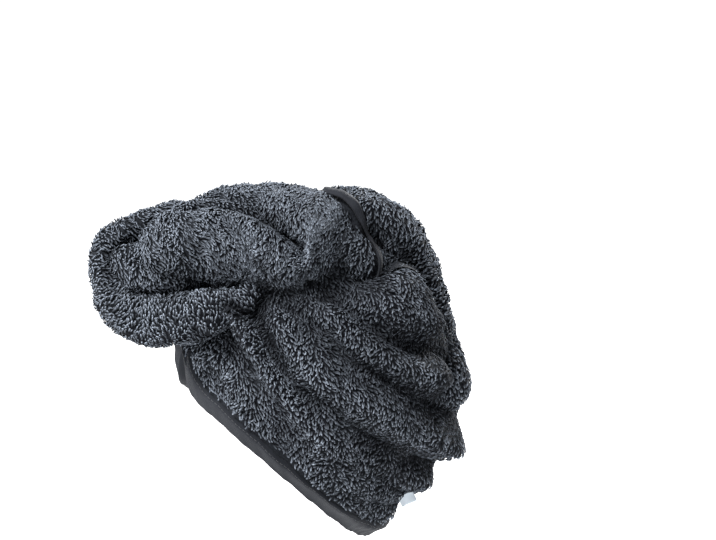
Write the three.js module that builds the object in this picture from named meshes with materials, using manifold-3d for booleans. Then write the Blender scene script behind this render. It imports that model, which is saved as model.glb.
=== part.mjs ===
// Hair turban towel as it is worn: a gathered head pocket of thick fleece, whose long tail is twisted, turned
// back over the brow in a loop, laid over the crown and buttoned at the nape. Millimetres, +Z up, the wearer
// looks along -Y, and +X is the wearer's left. The origin is where the crown of the head meets the cloth.
import * as THREE from 'three';
import Module from 'manifold-3d';
import { mergeVertices } from 'three/addons/utils/BufferGeometryUtils.js';

// Head that the pocket is worn on, hair included
const HEAD_LENGTH = 198;
const HEAD_WIDTH = 156;
const CROWN_RISE = 100; // widest level up to the crown
const NAPE_DROP = 132; // widest level down to where the head form closes
const CROWN_BACK = 7; // crown point behind the middle of the head
const NAPE_POWER = 1.6; // 2 would be an ellipse; less draws the nape in

// Cloth
const WALL = 5; // two layers of fleece with their pile
const LOOSENESS = 10; // how far the gathered cloth stands off the head
const VALLEY_SOFTNESS = 1.5; // how gently the loose cloth meets the head in a deep fold
const FIT_GAP = 0.4; // between neighbouring pieces

// Rim of the head opening
const RIM_SLOPE = 0.933; // fall towards the nape for each unit of length
const RIM_BROW_DROP = 108; // crown down to the rim above the temple
const RIM_TEMPLE_FORWARD = 89; // that point in front of the middle of the head
const RIM_NAPE_DROP = 217; // crown down to the rim at the nape
const RIM_CORNER_SOFTNESS = 8; // how gently the slanting rim turns level there
const NOTCH_HEIGHT = 40; // where both edges rise to the tail
const NOTCH_WIDTH = 24;
const HEM_HEIGHT = 20; // firm cloth above the rim, free of folds
const CROWN_CONTACT = 60; // across the patch of crown that the cloth rests on

// Twisted tail
const ROLL_WIDTH = 106;
const ROLL_HEIGHT = 78;
const GROOVE_WIDTH = 54; // of the back of the pocket, where the tail presses it flat

// Trim
const BINDING_WIDTH = 9;
const BINDING_THICKNESS = 1.2;
const TAPE_WIDTH = 8;
const BUTTON_DIAMETER = 20;
const BUTTON_THICKNESS = 3.5;
const SHANK_DIAMETER = 7;
const BUTTON_DROP = 200; // crown down to the button
const ELASTIC_DIAMETER = 3;
const ELASTIC_REACH = 9; // from the shank up to the tail
const LABEL_WIDTH = 16;
const LABEL_LENGTH = 9;
const LABEL_THICKNESS = 0.9;
const LABEL_ASIDE = 42;
const LABEL_DROP = 217; // crown down to its sewn edge
const LABEL_LIFT = 3; // how far its free end stands off, as a slope

// Mesh densities
const POCKET_COLUMNS = 48;
const POCKET_ROWS = 31;
const ROLL_SIDES = 20;
const ROLL_STEPS = 21;
const TAIL_SIDES = 18;
const TAIL_STEPS = 22;
const LOOP_SIDES = 14;
const LOOP_STEPS = 24;
const TAPE_STEPS = 14;

// Creases and ridges of the gathered cloth. Places are shares of half the head's length and of its rise or
// drop, bow is a share of the line's own length, depths are shares of LOOSENESS (a ridge is negative), and
// reach is a share of half the head's length, above the line and below it.
const FOLDS = [
  { name: 'hem_valley', from: [-0.84, 0.14], to: [-0.2, -0.34], bow: -0.05, depth: [0.4, 0.15], reach: [0.1, 0.1] },
  { name: 'temple_crease', from: [-0.72, 0.46], to: [-0.24, -0.22], bow: -0.02, depth: [1.1, 0.35], reach: [0.05, 0.1] },
  { name: 'temple_ridge', from: [-0.63, 0.56], to: [-0.33, -0.06], bow: -0.06, depth: [-0.9, -0.35], reach: [0.06, 0.06] },
  { name: 'brow_crease', from: [-0.52, 0.66], to: [-0.16, 0.02], bow: -0.15, depth: [1.2, 0.4], reach: [0.06, 0.07] },
  { name: 'long_crease', from: [-0.3, 0.7], to: [1.0, -0.19], bow: -0.055, depth: [0.8, 1.1], reach: [0.06, 0.1] },
  { name: 'low_crease', from: [-0.2, 0.08], to: [0.88, -0.46], bow: -0.04, depth: [0.3, 1.5], reach: [0.06, 0.12] },
  { name: 'shoulder_crease', from: [0.0, 0.78], to: [0.84, 0.3], bow: -0.1, depth: [0.7, 1.6], reach: [0.06, 0.1] },
  { name: 'crown_hollow', from: [-0.5, 0.74], to: [0.36, 0.84], bow: -0.04, depth: [1.0, 1.0], reach: [0.1, 0.08] },
  { name: 'nape_crease', from: [0.3, -0.44], to: [0.76, -0.66], bow: -0.02, depth: [0.3, 1.1], reach: [0.05, 0.08] },
  { name: 'hem_crease', from: [0.28, -0.58], to: [0.6, -0.7], bow: 0.0, depth: [0.3, 0.9], reach: [0.05, 0.07] },
  { name: 'back_hollow', from: [0.74, 0.72], to: [0.8, 0.03], bow: 0.14, depth: [1.3, 1.3], reach: [0.07, 0.07] },
];

// Puffed places of the cloth: centre and radius as the folds' places are, height a share of LOOSENESS.
const PUFFS = [
  { name: 'shoulder_puff', at: [0.46, 0.73], radius: 0.26, height: 1.2 },
  { name: 'back_puff', at: [0.98, 0.2], radius: 0.24, height: 1.3 },
  { name: 'occiput_puff', at: [0.92, -0.3], radius: 0.28, height: 2.4 },
  { name: 'nape_puff', at: [0.74, -0.54], radius: 0.17, height: 1.3 },
  { name: 'side_puff', at: [0.3, -0.05], radius: 0.3, height: 0.5 },
];

// Stations of the ropes of cloth, each from its front end. aside, along and up are places from the origin,
// shares of half the head's width, half its length and its rise. wide and high are half sizes of the section,
// shares of ROLL_WIDTH and ROLL_HEIGHT, and turn is where round the section its first crease lies, in degrees
// from the outer side towards the wearer's left.
const ROLL_STATIONS = [
  { aside: 0.1, along: -1.66, up: -0.06, wide: 0.1, high: 0.12, turn: -150 },
  { aside: 0.1, along: -1.56, up: -0.05, wide: 0.2, high: 0.22, turn: -132 },
  { aside: 0.1, along: -1.41, up: -0.08, wide: 0.26, high: 0.28, turn: -107 },
  { aside: 0.1, along: -1.23, up: -0.03, wide: 0.34, high: 0.42, turn: -72 },
  { aside: 0.04, along: -0.98, up: 0.04, wide: 0.42, high: 0.52, turn: -31 },
  { aside: 0.0, along: -0.68, up: 0.1, wide: 0.5, high: 0.53, turn: 17 },
  { aside: 0.03, along: -0.4, up: 0.07, wide: 0.56, high: 0.55, turn: 62 },
  { aside: 0.07, along: -0.14, up: 0.03, wide: 0.58, high: 0.55, turn: 104 },
  { aside: 0.18, along: 0.05, up: -0.02, wide: 0.48, high: 0.5, turn: 136 },
  { aside: 0.33, along: 0.23, up: -0.05, wide: 0.3, high: 0.38, turn: 160 },
];
const TAIL_STATIONS = [
  { aside: 0, along: -0.3, up: 0.12, wide: 0.3, high: 0.34, turn: 45 },
  { aside: 0, along: 0.02, up: 0.08, wide: 0.44, high: 0.5, turn: 60 },
  { aside: 0, along: 0.29, up: 0.0, wide: 0.49, high: 0.56, turn: 72 },
  { aside: 0, along: 0.45, up: -0.1, wide: 0.42, high: 0.51, turn: 74 },
  { aside: 0, along: 0.61, up: -0.26, wide: 0.33, high: 0.39, turn: 76 },
  { aside: 0, along: 0.75, up: -0.45, wide: 0.26, high: 0.28, turn: 78 },
  { aside: 0, along: 0.88, up: -0.67, wide: 0.21, high: 0.17, turn: 80 },
  { aside: 0, along: 0.98, up: -0.87, wide: 0.18, high: 0.11, turn: 82 },
  { aside: 0, along: 1.0, up: -1.05, wide: 0.165, high: 0.09, turn: 84 },
  { aside: 0, along: 0.97, up: -1.25, wide: 0.155, high: 0.085, turn: 86 },
  { aside: 0, along: 0.88, up: -1.5, wide: 0.14, high: 0.08, turn: 90 },
  { aside: 0, along: 0.76, up: -1.7, wide: 0.12, high: 0.07, turn: 90 },
  { aside: 0, along: 0.67, up: -1.85, wide: 0.1, high: 0.06, turn: 90 },
];
const LOOP_STATIONS = [
  { aside: 0.3, along: -0.5, up: -0.12, wide: 0.11, high: 0.13, turn: 100 },
  { aside: 0.54, along: -0.72, up: -0.27, wide: 0.15, high: 0.19, turn: 100 },
  { aside: 0.57, along: -0.96, up: -0.37, wide: 0.16, high: 0.22, turn: 100 },
  { aside: 0.48, along: -1.17, up: -0.42, wide: 0.18, high: 0.24, turn: 100 },
  { aside: 0.34, along: -1.39, up: -0.43, wide: 0.19, high: 0.26, turn: 100 },
  { aside: 0.18, along: -1.58, up: -0.36, wide: 0.17, high: 0.24, turn: 100 },
  { aside: 0.03, along: -1.68, up: -0.19, wide: 0.14, high: 0.18, turn: 100 },
  { aside: -0.07, along: -1.69, up: 0.0, wide: 0.13, high: 0.15, turn: 100 },
  { aside: -0.13, along: -1.56, up: 0.14, wide: 0.13, high: 0.15, turn: 100 },
  { aside: -0.19, along: -1.34, up: 0.21, wide: 0.14, high: 0.15, turn: 100 },
  { aside: -0.3, along: -1.11, up: 0.23, wide: 0.15, high: 0.16, turn: 100 },
  { aside: -0.48, along: -0.93, up: 0.14, wide: 0.16, high: 0.18, turn: 100 },
  { aside: -0.6, along: -0.8, up: -0.04, wide: 0.15, high: 0.18, turn: 100 },
  { aside: -0.5, along: -0.62, up: -0.18, wide: 0.11, high: 0.14, turn: 100 },
];

// Path of the tape on the tail: share of the tail's length, and degrees round it as turn is given
const TAPE_PATH = [
  { share: 0.06, round: 12 },
  { share: 0.1, round: 34 },
  { share: 0.14, round: 62 },
  { share: 0.18, round: 92 },
  { share: 0.2, round: 112 },
];

// Creases of each rope: where from the first one in degrees, and depth as a share of the section.
const ROLL_CREASES = [
  { place: 0, depth: 0.26 },
  { place: 180, depth: 0.22 },
];
const TAIL_CREASES = [
  { place: 0, depth: 0.2 },
  { place: -110, depth: 0.18 },
];
const LOOP_CREASES = [{ place: 0, depth: 0.08 }];

const HALF_LENGTH = HEAD_LENGTH / 2;
const HALF_WIDTH = HEAD_WIDTH / 2;
const wasm = await Module();
wasm.setup();

function smoothstep(low, high, value) {
  const t = Math.min(Math.max((value - low) / (high - low), 0), 1);
  return t * t * (3 - 2 * t);
}

const bell = (value) => Math.exp(-value * value);

// Point of the head form. azimuth turns from the brow to the wearer's left; fall is the angle from the crown.
function formPoint(azimuth, fall) {
  const upper = fall <= Math.PI / 2;
  const power = upper ? 1 : 2 / NAPE_POWER;
  const spread = Math.pow(Math.max(Math.sin(fall), 0), power);
  const level = Math.sign(Math.cos(fall)) * Math.pow(Math.abs(Math.cos(fall)), power);
  return new THREE.Vector3(
    HALF_WIDTH * spread * Math.sin(azimuth),
    -CROWN_BACK - HALF_LENGTH * spread * Math.cos(azimuth),
    -CROWN_RISE + (upper ? CROWN_RISE : NAPE_DROP) * level,
  );
}

// Place of a point as shares of the head: along it, across it and up or down from its widest level.
function shares(point) {
  const rise = point.z + CROWN_RISE;
  return {
    along: (point.y + CROWN_BACK) / HALF_LENGTH,
    across: point.x / HALF_WIDTH,
    up: rise / (rise > 0 ? CROWN_RISE : NAPE_DROP),
  };
}

// How far outside the head form a point is, as a share, and the outward direction there.
function formField(point) {
  const { along, across, up } = shares(point);
  const power = up > 0 ? 2 : NAPE_POWER;
  const spread = Math.max(Math.hypot(along, across), 1e-6);
  const pull = power * Math.pow(spread, power - 2);
  const slope = new THREE.Vector3(
    (pull * across) / HALF_WIDTH,
    (pull * along) / HALF_LENGTH,
    (power * Math.sign(up) * Math.pow(Math.abs(up), power - 1)) / (up > 0 ? CROWN_RISE : NAPE_DROP),
  );
  const value = Math.pow(spread, power) + Math.pow(Math.abs(up), power) - 1;
  return { value, steepness: slope.length(), normal: slope.normalize() };
}

// Level of the rim over a place, from the slanting side edges and the notch above the brow.
function rimLevel(point) {
  const temple = -CROWN_BACK - RIM_TEMPLE_FORWARD;
  const slanting = -RIM_BROW_DROP - RIM_SLOPE * (point.y - temple);
  const level = -RIM_NAPE_DROP;
  const ease = RIM_CORNER_SOFTNESS;
  const side = level + ease * Math.log1p(Math.exp((slanting - level) / ease));
  const front = point.y < -CROWN_BACK ? 1 : 0;
  return side + front * NOTCH_HEIGHT * bell(point.x / (NOTCH_WIDTH / 2));
}

// Signed distance from a fold's bowed line, above it positive, and how far along the line, both as shares.
function foldDistance(fold, along, up) {
  const dx = fold.to[0] - fold.from[0];
  const dy = fold.to[1] - fold.from[1];
  const length = Math.hypot(dx, dy);
  const t = ((along - fold.from[0]) * dx + (up - fold.from[1]) * dy) / (length * length);
  const side = ((up - fold.from[1]) * dx - (along - fold.from[0]) * dy) / length;
  const inside = Math.min(Math.max(t, 0), 1);
  const bow = fold.bow * length * 4 * inside * (1 - inside);
  const beyond = Math.max(-t, t - 1, 0) * length;
  return { t: inside, offset: side - bow, beyond };
}

// Height of the gathered cloth over the head form, beside the wall's own thickness.
function relief(point) {
  const { along, up } = shares(point);
  let height = LOOSENESS * (0.5 + 0.5 * smoothstep(-0.9, 0.3, along));
  for (const puff of PUFFS) {
    const away = Math.hypot(along - puff.at[0], up - puff.at[1]) / puff.radius;
    height += LOOSENESS * puff.height * bell(away);
  }
  for (const fold of FOLDS) {
    const { t, offset, beyond } = foldDistance(fold, along, up);
    const reach = offset > 0 ? fold.reach[0] : fold.reach[1];
    const depth = fold.depth[0] + (fold.depth[1] - fold.depth[0]) * t;
    height -= LOOSENESS * depth * bell(offset / reach) * bell(beyond / reach);
  }
  const behind = smoothstep(-0.05, 0.35, along);
  const ease = VALLEY_SOFTNESS;
  const eased = ease * Math.log1p(Math.exp(height / ease)) * (1 - behind * bell(point.x / (GROOVE_WIDTH / 2)));
  const crown = smoothstep(0, CROWN_CONTACT / 2, Math.hypot(point.x, point.y));
  return eased * crown * smoothstep(0, HEM_HEIGHT, point.z - rimLevel(point));
}

// Moves a point onto the head form.
function ontoForm(point) {
  const placed = point.clone();
  for (let i = 0; i < 4; i++) {
    const { value, steepness, normal } = formField(placed);
    placed.addScaledVector(normal, -value / steepness);
  }
  return placed;
}

// Point of the cloth over a place on the head form. lift 0 is the wall's inner face and WALL its outer one.
function clothPoint(place, lift) {
  return place.clone().addScaledVector(formField(place).normal, lift + relief(place));
}

function rimFall(azimuth) {
  let low = 0.2;
  let high = Math.PI - 0.01;
  for (let i = 0; i < 40; i++) {
    const middle = (low + high) / 2;
    const place = formPoint(azimuth, middle);
    if (place.z > rimLevel(place)) low = middle;
    else high = middle;
  }
  return (low + high) / 2;
}

// Columns crowd towards the brow and the nape.
function columnAzimuth(column) {
  const turn = (column / POCKET_COLUMNS) * 2 * Math.PI;
  return turn - 0.1 * Math.sin(2 * turn);
}

// Falls at which a column meets the rim and the upper edge of its binding, and the way up from the rim there.
function hemOf(azimuth) {
  const rim = rimFall(azimuth);
  const place = formPoint(azimuth, rim);
  const step = 0.01;
  const before = formPoint(azimuth - step, rimFall(azimuth - step));
  const along = formPoint(azimuth + step, rimFall(azimuth + step)).sub(before).normalize();
  const inward = new THREE.Vector3().crossVectors(formField(place).normal, along).normalize();
  const above = formPoint(azimuth, rim - step).sub(place);
  const squareness = Math.max(above.clone().normalize().dot(inward), 0.35);
  return { rim, edge: rim - (step * BINDING_WIDTH) / (squareness * above.length()), inward };
}

function geometryOf(vertices, triangles) {
  const geometry = new THREE.BufferGeometry();
  const flat = new Float32Array(vertices.flatMap((v) => [v.x, v.y, v.z]));
  geometry.setAttribute('position', new THREE.BufferAttribute(flat, 3));
  geometry.setIndex(triangles.flat());
  return geometry;
}

// Solid between two faces of the pocket, or its whole outer form if inner is null.
function pocketGeometry(outer, inner) {
  const hems = [];
  for (let c = 0; c < POCKET_COLUMNS; c++) hems.push(hemOf(columnAzimuth(c)));
  const vertices = [];
  const triangles = [];
  const addFace = (lift, outward) => {
    const first = vertices.length;
    vertices.push(clothPoint(formPoint(0, 0), lift));
    for (let row = 1; row <= POCKET_ROWS; row++) {
      const share = Math.pow(row / (POCKET_ROWS - 1), 0.95);
      for (let c = 0; c < POCKET_COLUMNS; c++) {
        const fall = row < POCKET_ROWS ? hems[c].edge * share : hems[c].rim;
        vertices.push(clothPoint(formPoint(columnAzimuth(c), fall), lift));
      }
    }
    const at = (row, c) => (row === 0 ? first : first + 1 + (row - 1) * POCKET_COLUMNS + (c % POCKET_COLUMNS));
    for (let row = 0; row < POCKET_ROWS; row++) {
      for (let c = 0; c < POCKET_COLUMNS; c++) {
        const quad = [at(row, c), at(row + 1, c), at(row + 1, c + 1), at(row, c + 1)];
        const shorter = vertices[quad[0]].distanceTo(vertices[quad[2]]) < vertices[quad[1]].distanceTo(vertices[quad[3]]);
        const downwards = row === POCKET_ROWS - 1 ? shorter : c < POCKET_COLUMNS / 2;
        let pair = [[quad[0], quad[1], quad[2]], [quad[0], quad[2], quad[3]]];
        if (row === 0) pair = pair.slice(0, 1);
        else if (!downwards) pair = [[quad[0], quad[1], quad[3]], [quad[1], quad[2], quad[3]]];
        for (const triangle of pair) triangles.push(outward ? triangle : triangle.reverse());
      }
    }
    return at;
  };
  const outerAt = addFace(outer, true);
  if (inner === null) {
    const middle = vertices.length;
    const centre = new THREE.Vector3();
    for (let c = 0; c < POCKET_COLUMNS; c++) centre.add(vertices[outerAt(POCKET_ROWS, c)]);
    vertices.push(centre.divideScalar(POCKET_COLUMNS));
    for (let c = 0; c < POCKET_COLUMNS; c++) {
      triangles.push([middle, outerAt(POCKET_ROWS, c + 1), outerAt(POCKET_ROWS, c)]);
    }
    return geometryOf(vertices, triangles);
  }
  const innerAt = addFace(inner, false);
  for (let c = 0; c < POCKET_COLUMNS; c++) {
    const quad = [outerAt(POCKET_ROWS, c), innerAt(POCKET_ROWS, c), innerAt(POCKET_ROWS, c + 1), outerAt(POCKET_ROWS, c + 1)];
    triangles.push([quad[0], quad[1], quad[2]], [quad[0], quad[2], quad[3]]);
  }
  return geometryOf(vertices, triangles);
}

// Solid whose rings of points follow each other. A closed one joins its last ring to its first.
function ringsGeometry(rings, closed) {
  const sides = rings[0].length;
  const vertices = rings.flat();
  const triangles = [];
  const steps = closed ? rings.length : rings.length - 1;
  for (let i = 0; i < steps; i++) {
    const next = (i + 1) % rings.length;
    for (let j = 0; j < sides; j++) {
      const quad = [i * sides + j, i * sides + ((j + 1) % sides), next * sides + ((j + 1) % sides), next * sides + j];
      const [a, b, c, d] = quad.map((k) => vertices[k]);
      if (a.distanceTo(c) < b.distanceTo(d)) {
        triangles.push([quad[0], quad[1], quad[2]], [quad[0], quad[2], quad[3]]);
      } else {
        triangles.push([quad[0], quad[1], quad[3]], [quad[1], quad[2], quad[3]]);
      }
    }
  }
  if (!closed) {
    for (const [ring, outward] of [[0, false], [rings.length - 1, true]]) {
      const centre = new THREE.Vector3();
      for (const point of rings[ring]) centre.add(point);
      const middle = vertices.push(centre.divideScalar(sides)) - 1;
      for (let j = 0; j < sides; j++) {
        const edge = [ring * sides + j, ring * sides + ((j + 1) % sides)];
        triangles.push(outward ? [middle, edge[0], edge[1]] : [middle, edge[1], edge[0]]);
      }
    }
  }
  return geometryOf(vertices, triangles);
}

function solidOf(geometry) {
  const bare = geometry.clone();
  bare.deleteAttribute('normal');
  bare.deleteAttribute('uv');
  const merged = mergeVertices(bare, 1e-3);
  const solid = new wasm.Manifold(
    new wasm.Mesh({
      numProp: 3,
      vertProperties: merged.attributes.position.array,
      triVerts: new Uint32Array(merged.index.array),
    }),
  );
  return solid;
}

function geometryFrom(solid) {
  const mesh = solid.getMesh();
  const geometry = new THREE.BufferGeometry();
  const places = new Float32Array(mesh.numVert * 3);
  for (let i = 0; i < mesh.numVert; i++) {
    places.set(mesh.vertProperties.subarray(i * mesh.numProp, i * mesh.numProp + 3), i * 3);
  }
  geometry.setAttribute('position', new THREE.BufferAttribute(places, 3));
  geometry.setIndex(new THREE.BufferAttribute(mesh.triVerts, 1));
  return geometry;
}

function ropePoint({ aside, along, up }) {
  return new THREE.Vector3(aside * HALF_WIDTH, along * HALF_LENGTH, up * CROWN_RISE);
}

// Smooth values between the stations of a table, at a share of the way along.
function stationValue(stations, column, share) {
  const place = share * (stations.length - 1);
  const i = Math.min(Math.floor(place), stations.length - 2);
  const near = [i - 1, i, i + 1, i + 2].map((k) => stations[Math.min(Math.max(k, 0), stations.length - 1)][column]);
  const t = place - i;
  const slopeIn = (near[2] - near[0]) / 2;
  const slopeOut = (near[3] - near[1]) / 2;
  const t2 = t * t;
  const t3 = t2 * t;
  return (2 * t3 - 3 * t2 + 1) * near[1] + (t3 - 2 * t2 + t) * slopeIn + (3 * t2 - 2 * t3) * near[2] + (t3 - t2) * slopeOut;
}

// Ends of a rope round off over a share of its length.
const roundEnd = (share, length) => Math.sqrt(Math.max(1 - Math.pow(Math.max(1 - share / length, 0), 2), 0.06));

// Half sizes of a rope's section towards an angle, creases included, and the angle itself.
function ropeSection(rope, share, part) {
  const wound = THREE.MathUtils.degToRad(stationValue(rope.stations, 'turn', share));
  let size = roundEnd(share, rope.rounding[0]) * roundEnd(1 - share, rope.rounding[1]);
  let depth = 0;
  for (const crease of rope.creases) {
    const away = part * 2 * Math.PI - THREE.MathUtils.degToRad(crease.place);
    const nearest = Math.abs(Math.atan2(Math.sin(away), Math.cos(away)));
    depth += crease.depth * Math.exp(-nearest / 0.4);
  }
  size *= 1 - depth;
  return {
    angle: wound + part * 2 * Math.PI,
    wide: stationValue(rope.stations, 'wide', share) * ROLL_WIDTH * size,
    high: stationValue(rope.stations, 'high', share) * ROLL_HEIGHT * size,
  };
}

// Part of the way round a rope from its first crease, of an angle from its outer side.
function partAt(rope, share, round) {
  return (round - stationValue(rope.stations, 'turn', share)) / 360;
}

// Point on a rope, a share of the way along it and a part of the way round from its first crease.
function ropeSurface(rope, share, part, grow) {
  const points = rope.stations.map(ropePoint);
  const at = (s) => new THREE.Vector3(...['x', 'y', 'z'].map((axis) => stationValue(points, axis, s)));
  const ahead = at(Math.min(share + 0.004, 1)).sub(at(Math.max(share - 0.004, 0))).normalize();
  const sideways = new THREE.Vector3(1, 0, 0).addScaledVector(ahead, -ahead.x).normalize();
  const outward = new THREE.Vector3().crossVectors(sideways, ahead);
  const { angle, wide, high } = ropeSection(rope, share, part);
  return at(share)
    .addScaledVector(sideways, Math.sin(angle) * (wide + grow))
    .addScaledVector(outward, Math.cos(angle) * (high + grow));
}

function ropeSolid(rope, grow) {
  const rings = [];
  for (let i = 0; i <= rope.steps; i++) {
    const ring = [];
    for (let j = 0; j < rope.sides; j++) ring.push(ropeSurface(rope, i / rope.steps, j / rope.sides, grow));
    rings.push(ring);
  }
  return solidOf(ringsGeometry(rings, false));
}

const ROLL = { stations: ROLL_STATIONS, creases: ROLL_CREASES, steps: ROLL_STEPS, sides: ROLL_SIDES, rounding: [0.09, 0.16] };
const TAIL = { stations: TAIL_STATIONS, creases: TAIL_CREASES, steps: TAIL_STEPS, sides: TAIL_SIDES, rounding: [0.05, 0.04] };
const LOOP = { stations: LOOP_STATIONS, creases: LOOP_CREASES, steps: LOOP_STEPS, sides: LOOP_SIDES, rounding: [0.06, 0.06] };

function material(colour, roughness) {
  return new THREE.MeshStandardMaterial({ color: colour, roughness, metalness: 0 });
}

const fleece = material(0x4b4f56, 0.95);
const woven = material(0x55575b, 0.8);
const plastic = material(0x3a3c40, 0.5);
const white = material(0xd8dde4, 0.8);

const turban = new THREE.Group();

function addPiece(name, geometry, finish) {
  const mesh = new THREE.Mesh(geometry, finish);
  mesh.name = name;
  turban.add(mesh);
}

// Head pocket
addPiece('head_pocket', pocketGeometry(WALL, 0), fleece);
const pocketRoom = solidOf(pocketGeometry(WALL + FIT_GAP, null));

// Ropes of the tail: each is cut clear of what lies under or in front of it
const mainBody = (solid) => solid.simplify(FIT_GAP / 3).decompose().sort((a, b) => b.volume() - a.volume())[0];
const loopSolid = mainBody(ropeSolid(LOOP, 0).subtract(pocketRoom));
addPiece('front_loop', geometryFrom(loopSolid), fleece);
const loopRoom = ropeSolid(LOOP, FIT_GAP);
const rollSolid = mainBody(ropeSolid(ROLL, 0).subtract(pocketRoom).subtract(loopRoom));
addPiece('upper_roll', geometryFrom(rollSolid), fleece);
const rollRoom = ropeSolid(ROLL, FIT_GAP);
const tailSolid = mainBody(ropeSolid(TAIL, 0).subtract(pocketRoom).subtract(rollRoom));
addPiece('tail_band', geometryFrom(tailSolid), fleece);

// Binding round the head opening, a channel folded over the cut edge
function rimBindingGeometry() {
  const rings = [];
  for (let c = 0; c < POCKET_COLUMNS; c++) {
    const azimuth = columnAzimuth(c);
    const { rim, edge, inward } = hemOf(azimuth);
    const top = formPoint(azimuth, edge);
    const bottom = formPoint(azimuth, rim);
    const below = (lift, drop) => clothPoint(bottom, lift).addScaledVector(inward, -drop);
    const far = FIT_GAP + BINDING_THICKNESS;
    rings.push([
      below(WALL + far, far),
      below(-far, far),
      clothPoint(top, -far),
      clothPoint(top, -FIT_GAP),
      below(-FIT_GAP, FIT_GAP),
      below(WALL + FIT_GAP, FIT_GAP),
      clothPoint(top, WALL + FIT_GAP),
      clothPoint(top, WALL + far),
    ]);
  }
  return ringsGeometry(rings, true);
}

addPiece('rim_binding', rimBindingGeometry(), woven);

// Tape along the edge of the tail, which lies on it
function tapeSolid() {
  const rings = [];
  for (let i = 0; i <= TAPE_STEPS; i++) {
    const share = stationValue(TAPE_PATH, 'share', i / TAPE_STEPS);
    const round = stationValue(TAPE_PATH, 'round', i / TAPE_STEPS);
    const on = (turn, grow) => ropeSurface(TAIL, share, partAt(TAIL, share, round + turn), grow);
    const turn = (60 * TAPE_WIDTH) / on(-30, 0).distanceTo(on(30, 0));
    rings.push([
      on(-turn / 2, FIT_GAP),
      on(0, FIT_GAP),
      on(turn / 2, FIT_GAP),
      on(turn / 2, FIT_GAP + BINDING_THICKNESS),
      on(0, FIT_GAP + BINDING_THICKNESS),
      on(-turn / 2, FIT_GAP + BINDING_THICKNESS),
    ].reverse());
  }
  return solidOf(ringsGeometry(rings, false));
}

const tailRoom = ropeSolid(TAIL, FIT_GAP);
const tape = mainBody(tapeSolid().subtract(tailRoom).subtract(pocketRoom).subtract(rollRoom));
addPiece('tail_binding', geometryFrom(tape), woven);

// Button at the nape, with the elastic loop of the tail round its shank
function napeButton() {
  const place = ontoForm(new THREE.Vector3(0, HALF_LENGTH, -BUTTON_DROP));
  const { normal } = formField(place);
  const surface = clothPoint(place, WALL + FIT_GAP);
  const upright = new THREE.Quaternion().setFromUnitVectors(new THREE.Vector3(0, 1, 0), normal);
  const turned = (geometry, lift) => {
    const centre = surface.clone().addScaledVector(normal, lift);
    return solidOf(geometry.applyQuaternion(upright).translate(centre.x, centre.y, centre.z));
  };
  const standing = ELASTIC_DIAMETER + 2 * FIT_GAP;
  const shank = new THREE.CylinderGeometry(SHANK_DIAMETER / 2, SHANK_DIAMETER / 2, standing + 1, 16);
  const rim = BUTTON_DIAMETER / 2;
  const profile = [
    [0, 0], [rim * 0.9, 0], [rim, BUTTON_THICKNESS * 0.3], [rim, BUTTON_THICKNESS * 0.7],
    [rim * 0.85, BUTTON_THICKNESS], [rim * 0.5, BUTTON_THICKNESS * 0.8], [0, BUTTON_THICKNESS * 0.75],
  ].map(([x, y]) => new THREE.Vector2(x, y));
  const path = [];
  for (let i = 0; i < 16; i++) {
    const angle = (i / 16) * 2 * Math.PI;
    const reach = (SHANK_DIAMETER + ELASTIC_DIAMETER) / 2 - 0.3;
    const upper = Math.cos(angle) > 0 ? ELASTIC_REACH : 0;
    const spot = place.clone().add(new THREE.Vector3(reach * Math.sin(angle), 0, 0));
    const climb = reach * Math.cos(angle) + upper * Math.pow(Math.abs(Math.cos(angle)), 0.5);
    spot.addScaledVector(new THREE.Vector3().crossVectors(new THREE.Vector3(1, 0, 0), normal).negate(), -climb);
    path.push(clothPoint(ontoForm(spot), WALL + FIT_GAP + ELASTIC_DIAMETER / 2 + 0.2));
  }
  const curve = new THREE.CatmullRomCurve3(path, true);
  const elastic = new THREE.TubeGeometry(curve, 28, ELASTIC_DIAMETER / 2, 8, true);
  return turned(shank, (standing + 1) / 2)
    .add(turned(new THREE.LatheGeometry(profile, 24), standing))
    .add(solidOf(elastic));
}

addPiece('nape_button', geometryFrom(mainBody(napeButton().subtract(tailRoom).subtract(pocketRoom))), plastic);

// Blank label, sewn by its upper edge beside the button
function labelSolid() {
  const edge = ontoForm(new THREE.Vector3(LABEL_ASIDE, HALF_LENGTH, -LABEL_DROP));
  const { normal } = formField(edge);
  const across = new THREE.Vector3(-normal.y, normal.x, 0).normalize();
  const down = new THREE.Vector3().crossVectors(across, normal).normalize();
  if (down.z > 0) down.negate();
  down.addScaledVector(normal, LABEL_LIFT).normalize();
  const out = new THREE.Vector3().crossVectors(down, across).normalize();
  const plate = new THREE.BoxGeometry(LABEL_WIDTH, LABEL_THICKNESS, LABEL_LENGTH);
  const centre = clothPoint(edge, WALL + FIT_GAP + LABEL_THICKNESS).addScaledVector(down, LABEL_LENGTH / 2);
  plate.applyMatrix4(new THREE.Matrix4().makeBasis(across, out, down)).translate(centre.x, centre.y, centre.z);
  return solidOf(plate);
}

addPiece('care_label', geometryFrom(mainBody(labelSolid().subtract(pocketRoom).subtract(tailRoom))), white);

export default turban;
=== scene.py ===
"""Hair turban towel as it is worn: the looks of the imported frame.

The soft forms are rebuilt from the same named sizes and short tables as the solids, at a finer grain, and
carry a pile of small leaning tufts. Everything is in metres, with +Z up and the wearer looking along -Y.
"""

import sys
import logging
import math
from dataclasses import dataclass, field
from enum import Enum
from typing import Any, Callable

import bpy
import numpy as np
from mathutils import Matrix, Vector
from mathutils.bvhtree import BVHTree


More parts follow.
